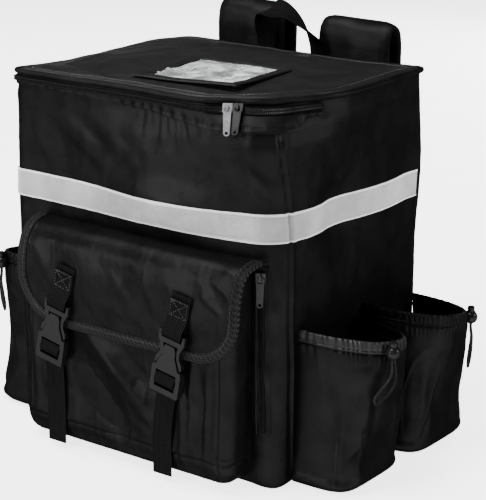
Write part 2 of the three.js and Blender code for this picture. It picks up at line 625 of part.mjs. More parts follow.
// The front pocket: a bellows pocket, hollow and open under its flap
// up is a share of its height, depth a share of its depth, narrow a share of its corner
const POCKET_ROWS = [
  { up: 0, depth: 0.52, narrow: 1 },
  { up: 0.02, depth: 0.76, narrow: 0.6 },
  { up: 0.08, depth: 0.98, narrow: 0 },
  { up: 0.25, depth: 1.02, narrow: 0 },
  { up: 0.45, depth: 0.99, narrow: 0 },
  { up: 0.7, depth: 0.98, narrow: 0 },
  { up: 0.86, depth: 0.92, narrow: 0 },
  { up: 1, depth: 0.62, narrow: 0 },
]
const POCKET_BACK = -HALF_DEPTH - SEAT
function pocketRing(up, inset, lift = 0) {
  const { depth, narrow } = readTable(POCKET_ROWS, 'up', up)
  const z = mix(POCKET_LOW, POCKET_HIGH, up) + lift
  const left = POCKET_LEFT + narrow * POCKET_CORNER + inset
  const right = POCKET_RIGHT - narrow * POCKET_CORNER - inset
  const back = POCKET_BACK - inset
  const front = POCKET_BACK - depth * POCKET_DEPTH + inset
  const radius = POCKET_CORNER * Math.min(1, depth) - inset
  const backRow = steps(right, left, 4).map((x) => vec(x, back, z))
  const cornerArc = (x, from) => steps(from, from + QUARTER, 3).map((t) => (
    vec(x + radius * Math.cos(t), front + radius + radius * Math.sin(t), z)
  ))
  const frontRow = steps(left + radius, right - radius, 5).slice(1, -1).map((x) => vec(x, front, z))
  return [...backRow, ...cornerArc(left + radius, Math.PI), ...frontRow, ...cornerArc(right - radius, -QUARTER)]
}
addPiece('front_pocket', ringSkin([
  ...POCKET_ROWS.map(({ up }) => pocketRing(up, 0)),
  ...[1, 0.86, 0.7, 0.25, 0.08].map((up) => pocketRing(up, CLOTH)),
  pocketRing(0.02, CLOTH, CLOTH),
]), BLACK_CLOTH)

// The flap: out over the pocket's mouth and down its face
// out is a share of the pocket's depth, down a share of the flap's drop
const FLAP_PROFILE = [
  { out: 0.03, down: -0.01 },
  { out: 0.33, down: -0.02 },
  { out: 0.62, down: 0.01 },
  { out: 0.86, down: 0.1 },
  { out: 1.01, down: 0.26 },
  { out: 1.07, down: 0.48 },
  { out: 1.08, down: 0.75 },
  { out: 1.08, down: 1 },
]
const FLAP_DROP = FLAP_TOP - FLAP_LOW
const flapCurve = new THREE.CatmullRomCurve3(FLAP_PROFILE.map(({ out, down }) => (
  vec(0, POCKET_BACK - out * POCKET_DEPTH, FLAP_TOP - down * FLAP_DROP)
)), false, 'centripetal')
flapCurve.arcLengthDivisions = 400
const FLAP_LENGTH = flapCurve.getLength()
/** A point of the flap, by its x and the length of cloth from the seam. */
function flapPoint(x, length, outward = 0) {
  const share = THREE.MathUtils.clamp(length / FLAP_LENGTH, 0, 1)
  const at = flapCurve.getPointAt(share)
  const along = flapCurve.getTangentAt(share)
  const wall = wallPoint(frontAt(x), FLAP_TOP).y + HALF_DEPTH
  const seam = Math.max(0, wall) * Math.max(0, 1 - share / 0.2)
  return vec(x, at.y + seam, at.z).addScaledVector(vec(0, along.z, -along.y), outward)
}
/** How far the rounded lower corners draw the flap's edge in, at this length of cloth. */
function flapNarrow(length) {
  const into = Math.max(0, length - (FLAP_LENGTH - FLAP_CORNER))
  return FLAP_CORNER - Math.sqrt(Math.max(0, FLAP_CORNER ** 2 - into ** 2))
}
const flapLengths = [
  ...steps(0, FLAP_LENGTH - FLAP_CORNER, 6),
  ...[0.3, 0.55, 0.75, 0.9, 0.975, 1].map((share) => FLAP_LENGTH - FLAP_CORNER * (1 - share)),
]
const flapGrid = (outward) => flapLengths.map((length) => {
  const narrow = flapNarrow(length)
  return steps(FLAP_LEFT + narrow, FLAP_RIGHT - narrow, 6).map((x) => flapPoint(x, length, outward))
})
addPiece('front_flap', sheet(flapGrid(CLOTH), flapGrid(0)), BLACK_CLOTH)

// The binding along the flap's sides, round its corners and along its lower edge
const BINDING_SIDE = flapLengths.filter((l) => l > BINDING_WIDTH && l < FLAP_LENGTH - FLAP_CORNER - 1)
const CORNER_STEPS = steps(0, QUARTER, 5)
const bindingRoute = [
  ...BINDING_SIDE.map((l) => [FLAP_LEFT, l, 1, 0]),
  ...CORNER_STEPS.map((t) => [
    FLAP_LEFT + FLAP_CORNER * (1 - Math.cos(t)), FLAP_LENGTH - FLAP_CORNER * (1 - Math.sin(t)),
    Math.cos(t), -Math.sin(t),
  ]),
  ...steps(FLAP_LEFT + FLAP_CORNER, FLAP_RIGHT - FLAP_CORNER, 4).slice(1, -1).map((x) => [x, FLAP_LENGTH, 0, -1]),
  ...[...CORNER_STEPS].reverse().map((t) => [
    FLAP_RIGHT - FLAP_CORNER * (1 - Math.cos(t)), FLAP_LENGTH - FLAP_CORNER * (1 - Math.sin(t)),
    -Math.cos(t), -Math.sin(t),
  ]),
  ...[...BINDING_SIDE].reverse().map((l) => [FLAP_RIGHT, l, -1, 0]),
]
const bindingGrid = (outward) => bindingRoute.map(([x, length, inX, inLength]) => (
  [0.2, BINDING_WIDTH].map((inward) => flapPoint(x + inX * inward, length + inLength * inward, outward))
))
const BINDING_LOW = CLOTH + 0.5
addPiece('flap_binding', sheet(bindingGrid(BINDING_LOW + BINDING_THICKNESS), bindingGrid(BINDING_LOW)), BLACK_CLOTH)

// Clips: width is a share of half the clip's width, along a share of its length from the webbing bar
const PLUG_OUTLINE = [
  { width: 0.9, along: 0 },
  { width: 0.9, along: 0.13 },
  { width: 0.8, along: 0.18 },
  { width: 0.66, along: 0.27 },
  { width: 0.68, along: 0.36 },
  { width: 0.88, along: 0.44 },
  { width: 0.94, along: 0.52 },
  { width: 0.84, along: 0.55 },
  { width: 0.7, along: 0.48 },
  { width: 0.5, along: 0.38 },
  { width: 0.46, along: 0.27 },
  { width: 0.52, along: 0.19 },
]
const SOCKET_OUTLINE = [
  { width: 0.3, along: 0.2 },
  { width: 0.42, along: 0.27 },
  { width: 0.45, along: 0.38 },
  { width: 0.64, along: 0.48 },
  { width: 0.76, along: 0.56 },
  { width: 0.96, along: 0.57 },
  { width: 1, along: 0.62 },
  { width: 1, along: 0.97 },
  { width: 0.94, along: 1 },
]
const clipOutline = (rows) => {
  const half = rows.map(({ width, along }) => [width * CLIP_WIDTH / 2, -along * CLIP_LENGTH])
  return [...half, ...[...half].reverse().map(([x, y]) => [-x, y])].reverse()
}
const SLOT_HALF = WEBBING_WIDTH / 2 + CLIP_FIT
const slot = (from, to) => rectangle(-SLOT_HALF, -to * CLIP_LENGTH, SLOT_HALF, -from * CLIP_LENGTH)
const PLUG_SLOT = [0.045, 0.11]
const LOCK_SLOTS = [[0.64, 0.72], [0.83, 0.91]]

// Each flap strap leans a little to the left as it hangs
const FLAP_STRAPS = [
  { side: 'left', x: FLAP_STRAP_LEFT_X, lean: 11, tail: -86 },
  { side: 'right', x: FLAP_STRAP_RIGHT_X, lean: 10, tail: 61 },
]
const STRAP_TOP = 213
const BAR_ALONG = 42
const FACE_Y = POCKET_BACK - 1.08 * POCKET_DEPTH - CLOTH
const PATCH_Y = FACE_Y - SEAT
const CLIP_Y = PATCH_Y - WEBBING_THICKNESS - 1.5
for (const { side, x, lean, tail } of FLAP_STRAPS) {
  const angle = THREE.MathUtils.degToRad(lean)
  const down = vec(-Math.sin(angle), 0, -Math.cos(angle))
  const across = vec(Math.cos(angle), 0, -Math.sin(angle))
  const start = vec(x, 0, STRAP_TOP)
  const alongStrap = (length, y) => start.clone().addScaledVector(down, length).setY(y)
  const band = rectangleSection(WEBBING_WIDTH, WEBBING_THICKNESS)
  // The sewn patch, then the loop that passes behind, round and in front of the plug's bar
  const barMiddle = BAR_ALONG + 0.02 * CLIP_LENGTH
  const clipMiddle = CLIP_Y - CLIP_PLUG_THICKNESS / 2
  const round = CLIP_PLUG_THICKNESS / 2 + 0.7 + WEBBING_THICKNESS / 2
  const frontY = clipMiddle - round
  const backY = PATCH_Y - WEBBING_THICKNESS / 2
  const doubledY = backY - WEBBING_THICKNESS - SEAT
  const route = [
    { length: 0, y: backY }, { length: PATCH_HEIGHT, y: backY }, { length: barMiddle - 2, y: backY },
    { length: barMiddle + 0.045 * CLIP_LENGTH, y: clipMiddle + round },
    { length: barMiddle + 0.058 * CLIP_LENGTH, y: clipMiddle },
    { length: barMiddle + 0.045 * CLIP_LENGTH, y: frontY }, { length: barMiddle - 4, y: frontY },
    { length: PATCH_HEIGHT - 2, y: mix(frontY, doubledY, 0.55) }, { length: PATCH_HEIGHT - 9, y: doubledY },
    { length: 6, y: doubledY },
  ].map(({ length, y }) => alongStrap(length, y))
  addPiece(`flap_strap_${side}`, strip(route.map((at, i) => {
    const ahead = route[Math.min(i + 1, route.length - 1)].clone().sub(route[Math.max(i - 1, 0)]).normalize()
    return { at, across, out: across.clone().cross(ahead).normalize(), section: band }
  })), WEBBING)

  const toClip = new THREE.Matrix4().makeBasis(across, down.clone().negate(), across.clone().cross(down).negate())
  const placeClip = (geometry, thickness) => geometry.applyMatrix4(
    toClip.clone().setPosition(alongStrap(BAR_ALONG, clipMiddle + thickness / 2)),
  )
  addPiece(`clip_plug_${side}`, placeClip(plate(clipOutline(PLUG_OUTLINE), [slot(...PLUG_SLOT)],
    CLIP_PLUG_THICKNESS), CLIP_PLUG_THICKNESS), BLACK_PLASTIC)
  addPiece(`clip_socket_${side}`, placeClip(plate(clipOutline(SOCKET_OUTLINE), LOCK_SLOTS.map((s) => slot(...s)),
    CLIP_SOCKET_THICKNESS), CLIP_SOCKET_THICKNESS), BLACK_PLASTIC)

  // The lower webbing passes up through the socket's far slot, over the bar and back through the near one
  const lockBar = BAR_ALONG + CLIP_LENGTH * 0.775
  const socketBack = clipMiddle + CLIP_SOCKET_THICKNESS / 2
  const socketFront = clipMiddle - CLIP_SOCKET_THICKNESS / 2
  const coverY = socketFront - SEAT - WEBBING_THICKNESS / 2
  const endOfClip = alongStrap(BAR_ALONG + CLIP_LENGTH, 0)
  const pocketFace = POCKET_BACK - 1.02 * POCKET_DEPTH - 0.6 - WEBBING_THICKNESS / 2
  const hang = [
    alongStrap(lockBar - 0.095 * CLIP_LENGTH, coverY + 2.5),
    alongStrap(lockBar - 0.06 * CLIP_LENGTH, coverY),
    alongStrap(lockBar + 0.06 * CLIP_LENGTH, coverY),
    alongStrap(lockBar + 0.095 * CLIP_LENGTH, clipMiddle),
    alongStrap(lockBar + 0.115 * CLIP_LENGTH, socketBack + SEAT + WEBBING_THICKNESS),
  ]
  const below = endOfClip.z - 22
  const tailRoute = [
    vec(mix(endOfClip.x, tail, 0.35), socketBack + SEAT + WEBBING_THICKNESS, endOfClip.z - 6),
    vec(mix(endOfClip.x, tail, 0.7), pocketFace, below),
    vec(tail, pocketFace, below - 25),
    vec(tail, pocketFace, STRAP_TAIL_LOW + 14),
    vec(tail, pocketFace, STRAP_TAIL_LOW),
  ]
  const lower = [...hang, ...tailRoute]
  addPiece(`pocket_strap_${side}`, strip(lower.map((at, i) => {
    const ahead = lower[Math.min(i + 1, lower.length - 1)].clone().sub(lower[Math.max(i - 1, 0)]).normalize()
    const wide = i < hang.length ? across : vec(1, 0, 0)
    return { at, across: wide, out: wide.clone().cross(ahead).normalize(), section: band }
  })), WEBBING)
}

// Cup pockets: up is a share of the rim's height, depth and width shares of the pocket's own,
// forward how far it sags to the front as a share of its width, square how boxy its outline is,
// and a flat pocket hangs empty
const CUP_ROWS = [
  { up: 0, depth: 0.74, width: 1, square: 5, forward: 0.08 },
  { up: 0.02, depth: 0.78, width: 1.06, square: 5, forward: 0.08 },
  { up: 0.1, depth: 0.79, width: 1.07, square: 5, forward: 0.07 },
  { up: 0.35, depth: 0.83, width: 1.02, square: 4, forward: 0.02 },
  { up: 0.65, depth: 0.91, width: 1, square: 3.2, forward: 0 },
  { up: 0.88, depth: 0.99, width: 1, square: 2.6, forward: 0 },
  { up: 1, depth: 0.97, width: 0.97, square: 2.4, forward: 0 },
]
const FLAT_ROWS = [
  { up: 0, depth: 0.94, width: 0.98, square: 5, forward: 0.03 },
  { up: 0.02, depth: 1, width: 1.03, square: 5, forward: 0.03 },
  { up: 0.1, depth: 0.98, width: 1.03, square: 5, forward: 0.03 },
  { up: 0.3, depth: 0.9, width: 1, square: 5, forward: 0.01 },
  { up: 0.65, depth: 0.92, width: 1, square: 5, forward: 0 },
  { up: 0.88, depth: 0.95, width: 1, square: 5, forward: 0 },
  { up: 1, depth: 0.95, width: 0.97, square: 4.5, forward: 0 },
]
function cupRing(pocket, up, inset, lift = 0) {
  const { rows, hand, middle, fullDepth, rim } = pocket
  const { depth, width, square, forward } = readTable(rows, 'up', up)
  const half = (width * CUP_POCKET_WIDTH) / 2 - inset
  const centre = middle - forward * CUP_POCKET_WIDTH
  const reach = depth * fullDepth - 2 * inset
  const place = (share, out) => {
    const y = centre + share * half
    const z = mix(CUP_POCKET_LOW, rim - RIM_LIFT * share, up) + lift
    const wall = Math.max(0, hand * wallPoint(hand > 0 ? rightAt(y) : leftAt(y), z).x - HALF_WIDTH)
    return vec(hand * (HALF_WIDTH + wall + WRAP_SEAT + inset + out * (reach - wall)), y, z)
  }
  const curve = steps(0, Math.PI, 14).map((t) => place(
    Math.sign(Math.cos(t)) * Math.abs(Math.cos(t)) ** (2 / square),
    Math.abs(Math.sin(t)) ** (2 / square),
  ))
  return [...steps(-1, 1, 4).slice(1, -1).map((share) => place(share, 0)), ...curve]
}
const REAR_ROWS = CUP_ROWS.map((row) => ({ ...row, forward: -0.4 * row.forward }))
const CUP_POCKETS = [
  { place: 'right_front', hand: 1, middle: CUP_POCKET_FRONT_Y, rows: CUP_ROWS, fullDepth: CUP_DEPTH, rim: CUP_RIM },
  { place: 'right_rear', hand: 1, middle: CUP_POCKET_REAR_Y, rows: REAR_ROWS, fullDepth: REAR_DEPTH, rim: REAR_RIM },
  { place: 'left_front', hand: -1, middle: FLAT_POCKET_FRONT_Y, rows: FLAT_ROWS, fullDepth: FLAT_DEPTH, rim: FLAT_RIM },
  { place: 'left_rear', hand: -1, middle: FLAT_POCKET_REAR_Y, rows: FLAT_ROWS, fullDepth: FLAT_DEPTH, rim: FLAT_RIM },
]
for (const pocket of CUP_POCKETS) {
  addPiece(`cup_pocket_${pocket.place}`, ringSkin([
    ...pocket.rows.map(({ up }) => cupRing(pocket, up, 0)),
    ...[1, 0.65, 0.1].map((up) => cupRing(pocket, up, CLOTH)),
    cupRing(pocket, 0.025, CLOTH, CLOTH),
  ]), BLACK_CLOTH)
}

// Cord locks on the pockets' hems: a ball on the hem, a sprung button in it, and a loop of drawcord.
// The loop's points are in a frame with out away from the pack, back towards +Y and up
const LOCK_PLACES = {
  right_front: { out: 0.97, back: -0.34, below: 7 },
  right_rear: { out: 0.8, back: 0.72, below: 16 },
  left_front: { out: 0.62, back: -0.8, below: 4 },
  left_rear: { out: 0.8, back: 0.1, below: 6 },
}
const CORD_LOOP = [
  { out: 3.2, back: -1.7, up: -7.05 }, { out: 3.6, back: -1.9, up: -14 }, { out: 4.6, back: -3, up: -20 },
  { out: 4.4, back: -6, up: -26 }, { out: 4, back: -11, up: -31 }, { out: 3.8, back: -17, up: -35 },
  { out: 3.6, back: -23, up: -39 }, { out: 3.6, back: -27, up: -43.5 }, { out: 3.8, back: -25.5, up: -48.5 },
  { out: 4.2, back: -19, up: -47.5 }, { out: 4.8, back: -10.5, up: -43.5 }, { out: 5, back: -3, up: -38.5 },
  { out: 5, back: 1.6, up: -31 }, { out: 4.8, back: 2.6, up: -22 }, { out: 3.6, back: 2.2, up: -14 },
  { out: 3.2, back: 1.7, up: -7.05 },
]
function addCordLock(pocket) {
  const { out, back, below } = LOCK_PLACES[pocket.place]
  const half = CUP_POCKET_WIDTH / 2
  const rim = cupRing(pocket, 0.93, 0)
  const aim = vec(pocket.hand * (HALF_WIDTH + out * pocket.fullDepth), pocket.middle + back * half, 0)
  const nearest = rim.reduce((best, p) => (
    Math.hypot(p.x - aim.x, p.y - aim.y) < Math.hypot(best.x - aim.x, best.y - aim.y) ? p : best
  ))
  const away = vec(nearest.x - pocket.hand * HALF_WIDTH, nearest.y - pocket.middle, 0).normalize()
  const middle = nearest.clone().addScaledVector(away, LOCK_RADIUS + LOCK_SEAT)
  middle.z = pocket.rim - below
  const sideways = vec(-away.y * pocket.hand, away.x * pocket.hand, 0)

  // The ball, with a blind bore for the button at its top and two flats below for the cord
  const ball = new THREE.SphereGeometry(LOCK_RADIUS, 12, 8)
  ball.rotateX(QUARTER)
  const bore = new THREE.CylinderGeometry(LOCK_BUTTON_RADIUS + LOCK_BORE_FIT, LOCK_BUTTON_RADIUS + LOCK_BORE_FIT,
    LOCK_RADIUS * 2, 10)
  bore.rotateX(QUARTER)
  bore.translate(0, 0, LOCK_RADIUS - LOCK_BUTTON_LENGTH + LOCK_BUTTON_OUT + LOCK_RADIUS - SEAT - 4)
  const flat = new THREE.BoxGeometry(20, 20, 8)
  flat.translate(0, 0, -LOCK_RADIUS + 0.8 - 4)
  const hollow = fromSolid(toSolid(ball).subtract(toSolid(bore)).subtract(toSolid(flat)))
  const place = new THREE.Matrix4().makeBasis(away, vec(-away.y, away.x, 0), vec(0, 0, 1)).setPosition(middle)
  addPiece(`cord_lock_${pocket.place}`, hollow.applyMatrix4(place), BLACK_PLASTIC)

  const button = new THREE.CylinderGeometry(LOCK_BUTTON_RADIUS - 0.8, LOCK_BUTTON_RADIUS, LOCK_BUTTON_LENGTH, 10)
  button.rotateX(QUARTER)
  button.translate(0, 0, LOCK_RADIUS + LOCK_BUTTON_OUT - LOCK_BUTTON_LENGTH / 2)
  addPiece(`lock_button_${pocket.place}`, fromSolid(toSolid(button)).applyMatrix4(place), BLACK_PLASTIC)

  const route = new THREE.CatmullRomCurve3(CORD_LOOP.map((p) => (
    middle.clone().addScaledVector(away, p.out - 3.2).addScaledVector(sideways, p.back).setZ(middle.z + p.up)
  )), false, 'centripetal')
  const circleShape = new THREE.Shape(roundSection(CORD_THICKNESS / 2, 8).map(([a, b]) => new THREE.Vector2(a, b)))
  const cord = new THREE.ExtrudeGeometry(circleShape, { extrudePath: route, steps: 18, bevelEnabled: false })
  cord.deleteAttribute('normal')
  cord.deleteAttribute('uv')
  addPiece(`draw_cord_${pocket.place}`, mergeVertices(cord, 1e-4), CORD)
}
CUP_POCKETS.forEach(addCordLock)

// The carry handle: webbing sewn flat to the back at both feet and turned edge-on at its top.
// along is a share of its span, out and up are shares of its rise, turn is in degrees
const HANDLE_ROUTE = [
  { along: -0.5, out: 0.03, up: -0.62, turn: 0 },
  { along: -0.5, out: 0.03, up: -0.34, turn: 0 },
  { along: -0.5, out: 0.14, up: -0.16, turn: 0 },
  { along: -0.5, out: 0.13, up: 0.16, turn: 3 },
  { along: -0.47, out: 0.02, up: 0.56, turn: 25 },
  { along: -0.38, out: -0.1, up: 0.86, turn: 58 },
  { along: -0.18, out: -0.2, up: 1, turn: 86 },
  { along: 0.08, out: -0.2, up: 0.94, turn: 88 },
  { along: 0.28, out: -0.1, up: 0.7, turn: 60 },
  { along: 0.42, out: 0.02, up: 0.42, turn: 28 },
  { along: 0.5, out: 0.13, up: 0.16, turn: 3 },
  { along: 0.52, out: 0.14, up: -0.16, turn: 0 },
  { along: 0.52, out: 0.03, up: -0.34, turn: 0 },
  { along: 0.52, out: 0.03, up: -0.62, turn: 0 },
]
const handleStops = HANDLE_ROUTE.map(({ along, out, up }) => (
  vec(HANDLE_X + along * HANDLE_SPAN, HALF_DEPTH + out * HANDLE_RISE, BODY_HEIGHT + up * HANDLE_RISE)
))
addPiece('carry_handle', strip(handleStops.map((at, i) => {
  const before = handleStops[Math.max(i - 1, 0)]
  const after = handleStops[Math.min(i + 1, handleStops.length - 1)]
  const ahead = after.clone().sub(before).normalize()
  const turn = THREE.MathUtils.degToRad(HANDLE_ROUTE[i].turn)
  const rising = i < handleStops.length / 2 ? 1 : -1
  const flat = vec(rising, 0, 0).addScaledVector(ahead, -ahead.x * rising).normalize()
  const edge = ahead.clone().cross(flat).normalize()
  const across = flat.multiplyScalar(Math.cos(turn)).addScaledVector(edge, Math.sin(turn)).normalize()
  return { at, across, out: ahead.clone().cross(across).normalize(),
    section: rectangleSection(WEBBING_WIDTH, WEBBING_THICKNESS + 0.4) }
})), WEBBING)

// Shoulder straps: out is a share of the loop's reach from the back, up a share of the body's height,
// width a share of the strap's own
const SHOULDER_ROUTE = [
  { out: 0.1, up: 0.84, width: 0.96, thick: 0.66 },
  { out: 0.1, up: 0.9, width: 0.98, thick: 0.68 },
  { out: 0.22, up: 0.935, width: 1, thick: 0.8 },
  { out: 0.34, up: 0.972, width: 1, thick: 1 },
  { out: 0.35, up: 1.02, width: 1, thick: 1 },
  { out: 0.36, up: 1.065, width: 1, thick: 1 },
  { out: 0.45, up: 1.098, width: 1, thick: 1 },
  { out: 0.64, up: 1.112, width: 1, thick: 1 },
  { out: 0.82, up: 1.1, width: 1, thick: 1 },
  { out: 0.92, up: 1.065, width: 1, thick: 1 },
  { out: 0.93, up: 1.01, width: 1, thick: 1 },
  { out: 0.9, up: 0.88, width: 0.97, thick: 1 },
  { out: 0.8, up: 0.7, width: 0.92, thick: 1 },
  { out: 0.66, up: 0.5, width: 0.86, thick: 1 },
  { out: 0.5, up: 0.34, width: 0.8, thick: 1 },
  { out: 0.36, up: 0.27, width: 0.72, thick: 0.8 },
]
const SHOULDER_STRAPS = [
  { side: 'left', x: SHOULDER_STRAP_LEFT_X, hand: -1, drop: 0 },
  { side: 'right', x: SHOULDER_STRAP_RIGHT_X, hand: 1, drop: SHOULDER_STRAP_DROP },
]
function paddedSection(width, thickness) {
  const a = width / 2
  const b = thickness / 2
  return [[-a, -b * 0.4], [-a + 5, -b], [a - 5, -b], [a, -b * 0.4], [a, b * 0.4], [a - 5, b], [-a + 5, b], [-a, b * 0.4]]
}
for (const { side, x, hand, drop } of SHOULDER_STRAPS) {
  const stops = SHOULDER_ROUTE.map(({ out, up }) => (
    vec(x, HALF_DEPTH + out * STRAP_LOOP_OUT, up * BODY_HEIGHT - (up > 1.03 ? drop : 0))
  ))
  addPiece(`shoulder_strap_${side}`, strip(stops.map((at, i) => {
    const ahead = stops[Math.min(i + 1, stops.length - 1)].clone().sub(stops[Math.max(i - 1, 0)]).normalize()
    const { width, thick } = SHOULDER_ROUTE[i]
    return { at, across: vec(1, 0, 0), out: vec(1, 0, 0).cross(ahead).normalize(),
      section: paddedSection(width * SHOULDER_STRAP_WIDTH, thick * SHOULDER_STRAP_THICKNESS) }
  })), BLACK_CLOTH)

  // The adjuster hangs under the pad, and the lower webbing runs from it to the foot of the back
  const last = SHOULDER_ROUTE[SHOULDER_ROUTE.length - 1]
  const padEnd = vec(x, HALF_DEPTH + last.out * STRAP_LOOP_OUT, last.up * BODY_HEIGHT)
  const top = padEnd.z - SEAT - 1
  const half = ADJUSTER_WIDTH / 2
  const inner = WEBBING_WIDTH / 2 + CLIP_FIT
  const frame = plate(rectangle(-half, -ADJUSTER_HEIGHT, half, 0), [
    rectangle(-inner, -ADJUSTER_HEIGHT * 0.36, inner, -ADJUSTER_HEIGHT * 0.14),
    rectangle(-inner, -ADJUSTER_HEIGHT * 0.82, inner, -ADJUSTER_HEIGHT * 0.58),
  ], ADJUSTER_THICKNESS)
  frame.rotateX(QUARTER)
  frame.translate(x, padEnd.y + ADJUSTER_THICKNESS / 2, top)
  addPiece(`strap_adjuster_${side}`, frame, BLACK_PLASTIC)

  const bottom = top - ADJUSTER_HEIGHT
  const behind = padEnd.y - ADJUSTER_THICKNESS / 2 - SEAT - WEBBING_THICKNESS / 2
  const lowEnd = vec(hand * LOWER_STRAP_END_X, HALF_DEPTH + SEAT + WEBBING_THICKNESS / 2, 22)
  const lower = [
    vec(x, padEnd.y, top - ADJUSTER_HEIGHT * 0.65),
    vec(x, behind, top - ADJUSTER_HEIGHT * 0.76),
    vec(mix(x, lowEnd.x, 0.12), behind, bottom - 10),
    vec(mix(x, lowEnd.x, 0.75), mix(behind, lowEnd.y, 0.8), 40),
    lowEnd,
  ]
  addPiece(`lower_strap_${side}`, strip(lower.map((at, i) => {
    const ahead = lower[Math.min(i + 1, lower.length - 1)].clone().sub(lower[Math.max(i - 1, 0)]).normalize()
    const out = vec(0, 1, 0).addScaledVector(ahead, -ahead.y).normalize()
    const across = i < 2 ? vec(1, 0, 0) : ahead.clone().cross(out).normalize()
    return { at, across, out: i < 2 ? across.clone().cross(ahead).normalize() : out,
      section: rectangleSection(WEBBING_WIDTH, WEBBING_THICKNESS) }
  })), WEBBING)
}

export default pack
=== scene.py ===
"""Dresses the packed insulated delivery backpack in cloth, webbing, film, plastic and metal.

All shapes are worked out in millimetres in the part's own frame and made in metres. Each is a function
of two lengths or shares over a grid, or a section carried along a route.
"""

import math
from collections import namedtuple

import bpy
import numpy as np
from mathutils import Matrix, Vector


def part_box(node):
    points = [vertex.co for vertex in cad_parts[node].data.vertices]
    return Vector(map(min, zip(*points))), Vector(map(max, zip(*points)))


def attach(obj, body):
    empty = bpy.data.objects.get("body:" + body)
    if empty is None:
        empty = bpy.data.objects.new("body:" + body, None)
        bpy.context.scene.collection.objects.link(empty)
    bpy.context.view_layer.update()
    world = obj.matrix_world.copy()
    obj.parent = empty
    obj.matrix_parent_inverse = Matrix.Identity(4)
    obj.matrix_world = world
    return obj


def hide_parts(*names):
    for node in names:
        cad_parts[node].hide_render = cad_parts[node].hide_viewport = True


bl_info = {
    "name": "Delivery backpack",
    "version": (1, 0, 0),
    "blender": (4, 5, 0),
    "location": "3D View > Sidebar > Backpack",
    "description": "Builds the cloth, webbing and trim of an insulated delivery backpack",
    "category": "Add Mesh",
}

MM = 0.001
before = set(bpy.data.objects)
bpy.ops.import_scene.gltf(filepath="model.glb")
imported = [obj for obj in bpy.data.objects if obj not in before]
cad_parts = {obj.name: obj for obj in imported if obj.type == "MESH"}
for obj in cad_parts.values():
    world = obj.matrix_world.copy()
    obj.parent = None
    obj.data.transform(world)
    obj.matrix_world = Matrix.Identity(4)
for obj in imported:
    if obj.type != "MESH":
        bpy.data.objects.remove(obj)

# The padded box, as the part has it
BODY_WIDTH = 350.0
BODY_DEPTH = 270.0
BODY_HEIGHT = 399.0
HALF_WIDTH = BODY_WIDTH / 2
HALF_DEPTH = BODY_DEPTH / 2
PADDED_WALL = 7.0
BASE_THICKNESS = 9.0
BASE_EDGE = 8.0
FRONT_RIGHT_RADIUS = 32.0
FRONT_LEFT_RADIUS = 12.0
BACK_RIGHT_RADIUS = 10.0
BACK_LEFT_RADIUS = 46.0
SEAT = 0.3
WRAP_SEAT = 0.6
CLOTH = 2.0

# The camera of the photograph
CAMERA_PLACE = (1219.0, -1613.4, 838.3)
CAMERA_YAW = 0.634
CAMERA_PITCH = 0.307
CAMERA_ROLL = 0.004
CAMERA_FOCUS_PIXELS = 1904.34
PHOTO_HEIGHT_PIXELS = 500
SENSOR = 36.0

Fold = namedtuple("Fold", "u0 v0 u1 v1 width height")
Run = namedtuple("Run", "kind x y x1 y1 radius start length begins")


# Numbers and curves

def mix(a, b, t):
    """The point this share of the way from a to b."""
    return a + (b - a) * t


def bump(t):
    """A rounded hump: the cosine squared, 1 at 0 and nothing past 1 on either side."""
    return np.where(np.abs(t) < 1, np.cos(np.pi * np.clip(t, -1, 1) / 2) ** 2, 0.0)


def ridge(away, width):
    """A rounded ridge: the bell curve of the distance over its width, 1 at the top."""
    return np.exp(-(away / width) ** 2)


def step_up(x, low, high):
    """A smooth step from 0 at low to 1 at high."""
    t = np.clip((x - low) / (high - low), 0, 1)
    return t * t * (3 - 2 * t)


def stack(*parts):
    """Joins x, y and z fields into points."""
    return np.stack(np.broadcast_arrays(*parts), axis=-1).astype(float)


def unit(vectors):
    """Vectors divided by their lengths."""
    return vectors / np.maximum(np.linalg.norm(vectors, axis=-1, keepdims=True), 1e-9)


def noise(points, size, seed, stretch=(1, 1, 1)):
    """A soft random field of about -1 to 1 over places in space, with waves near this size."""
    random = np.random.default_rng(seed)
    total = 0.0
    for _ in range(9):
        direction = unit(random.normal(size=3)) / np.array(stretch)
        wave = 2 * np.pi / (size * random.uniform(0.75, 1.6))
        total = total + np.sin(points @ direction * wave + random.uniform(0, 2 * np.pi))
    return total / 4.2


def creases(points, size, seed, stretch=(1, 1, 1)):
    """Thin raised lines on a flat ground, 0 to 1."""
    return np.clip(1 - 3.2 * np.abs(noise(points, size, seed, stretch)), 0, 1) ** 1.5


def fold_field(u, v, folds):
    """Raised or sunk folds along straight lines in a surface's own coordinates."""
    total = np.zeros(np.broadcast(u, v).shape)
    for fold in folds:
        du, dv = fold.u1 - fold.u0, fold.v1 - fold.v0
        share = np.clip(((u - fold.u0) * du + (v - fold.v0) * dv) / (du * du + dv * dv), 0, 1)
        away = np.hypot(u - fold.u0 - share * du, v - fold.v0 - share * dv)
        fade = 1 - 0.85 * np.abs(2 * share - 1) ** 3
        total += fold.height * fade * ridge(away, fold.width)
    return total


def spline(control, count):
    """A smooth row of points through control points, evenly spaced along their chords."""
    control = np.asarray(control, float)
    chord = np.linalg.norm(np.diff(control[:, :3], axis=0), axis=1)
    at = np.concatenate([[0], np.cumsum(np.maximum(chord, 1e-6))])
    slope = np.gradient(control, at, axis=0)
    where = np.linspace(0, at[-1], count)
    seg = np.clip(np.searchsorted(at, where, side="right") - 1, 0, len(at) - 2)
    width = (at[seg + 1] - at[seg])[:, None]
    t = ((where - at[seg]) / (at[seg + 1] - at[seg]))[:, None]
    h00, h10 = 2 * t**3 - 3 * t**2 + 1, t**3 - 2 * t**2 + t
    h01, h11 = -2 * t**3 + 3 * t**2, t**3 - t**2
    start = h00 * control[seg] + h10 * width * slope[seg]
    return start + h01 * control[seg + 1] + h11 * width * slope[seg + 1]


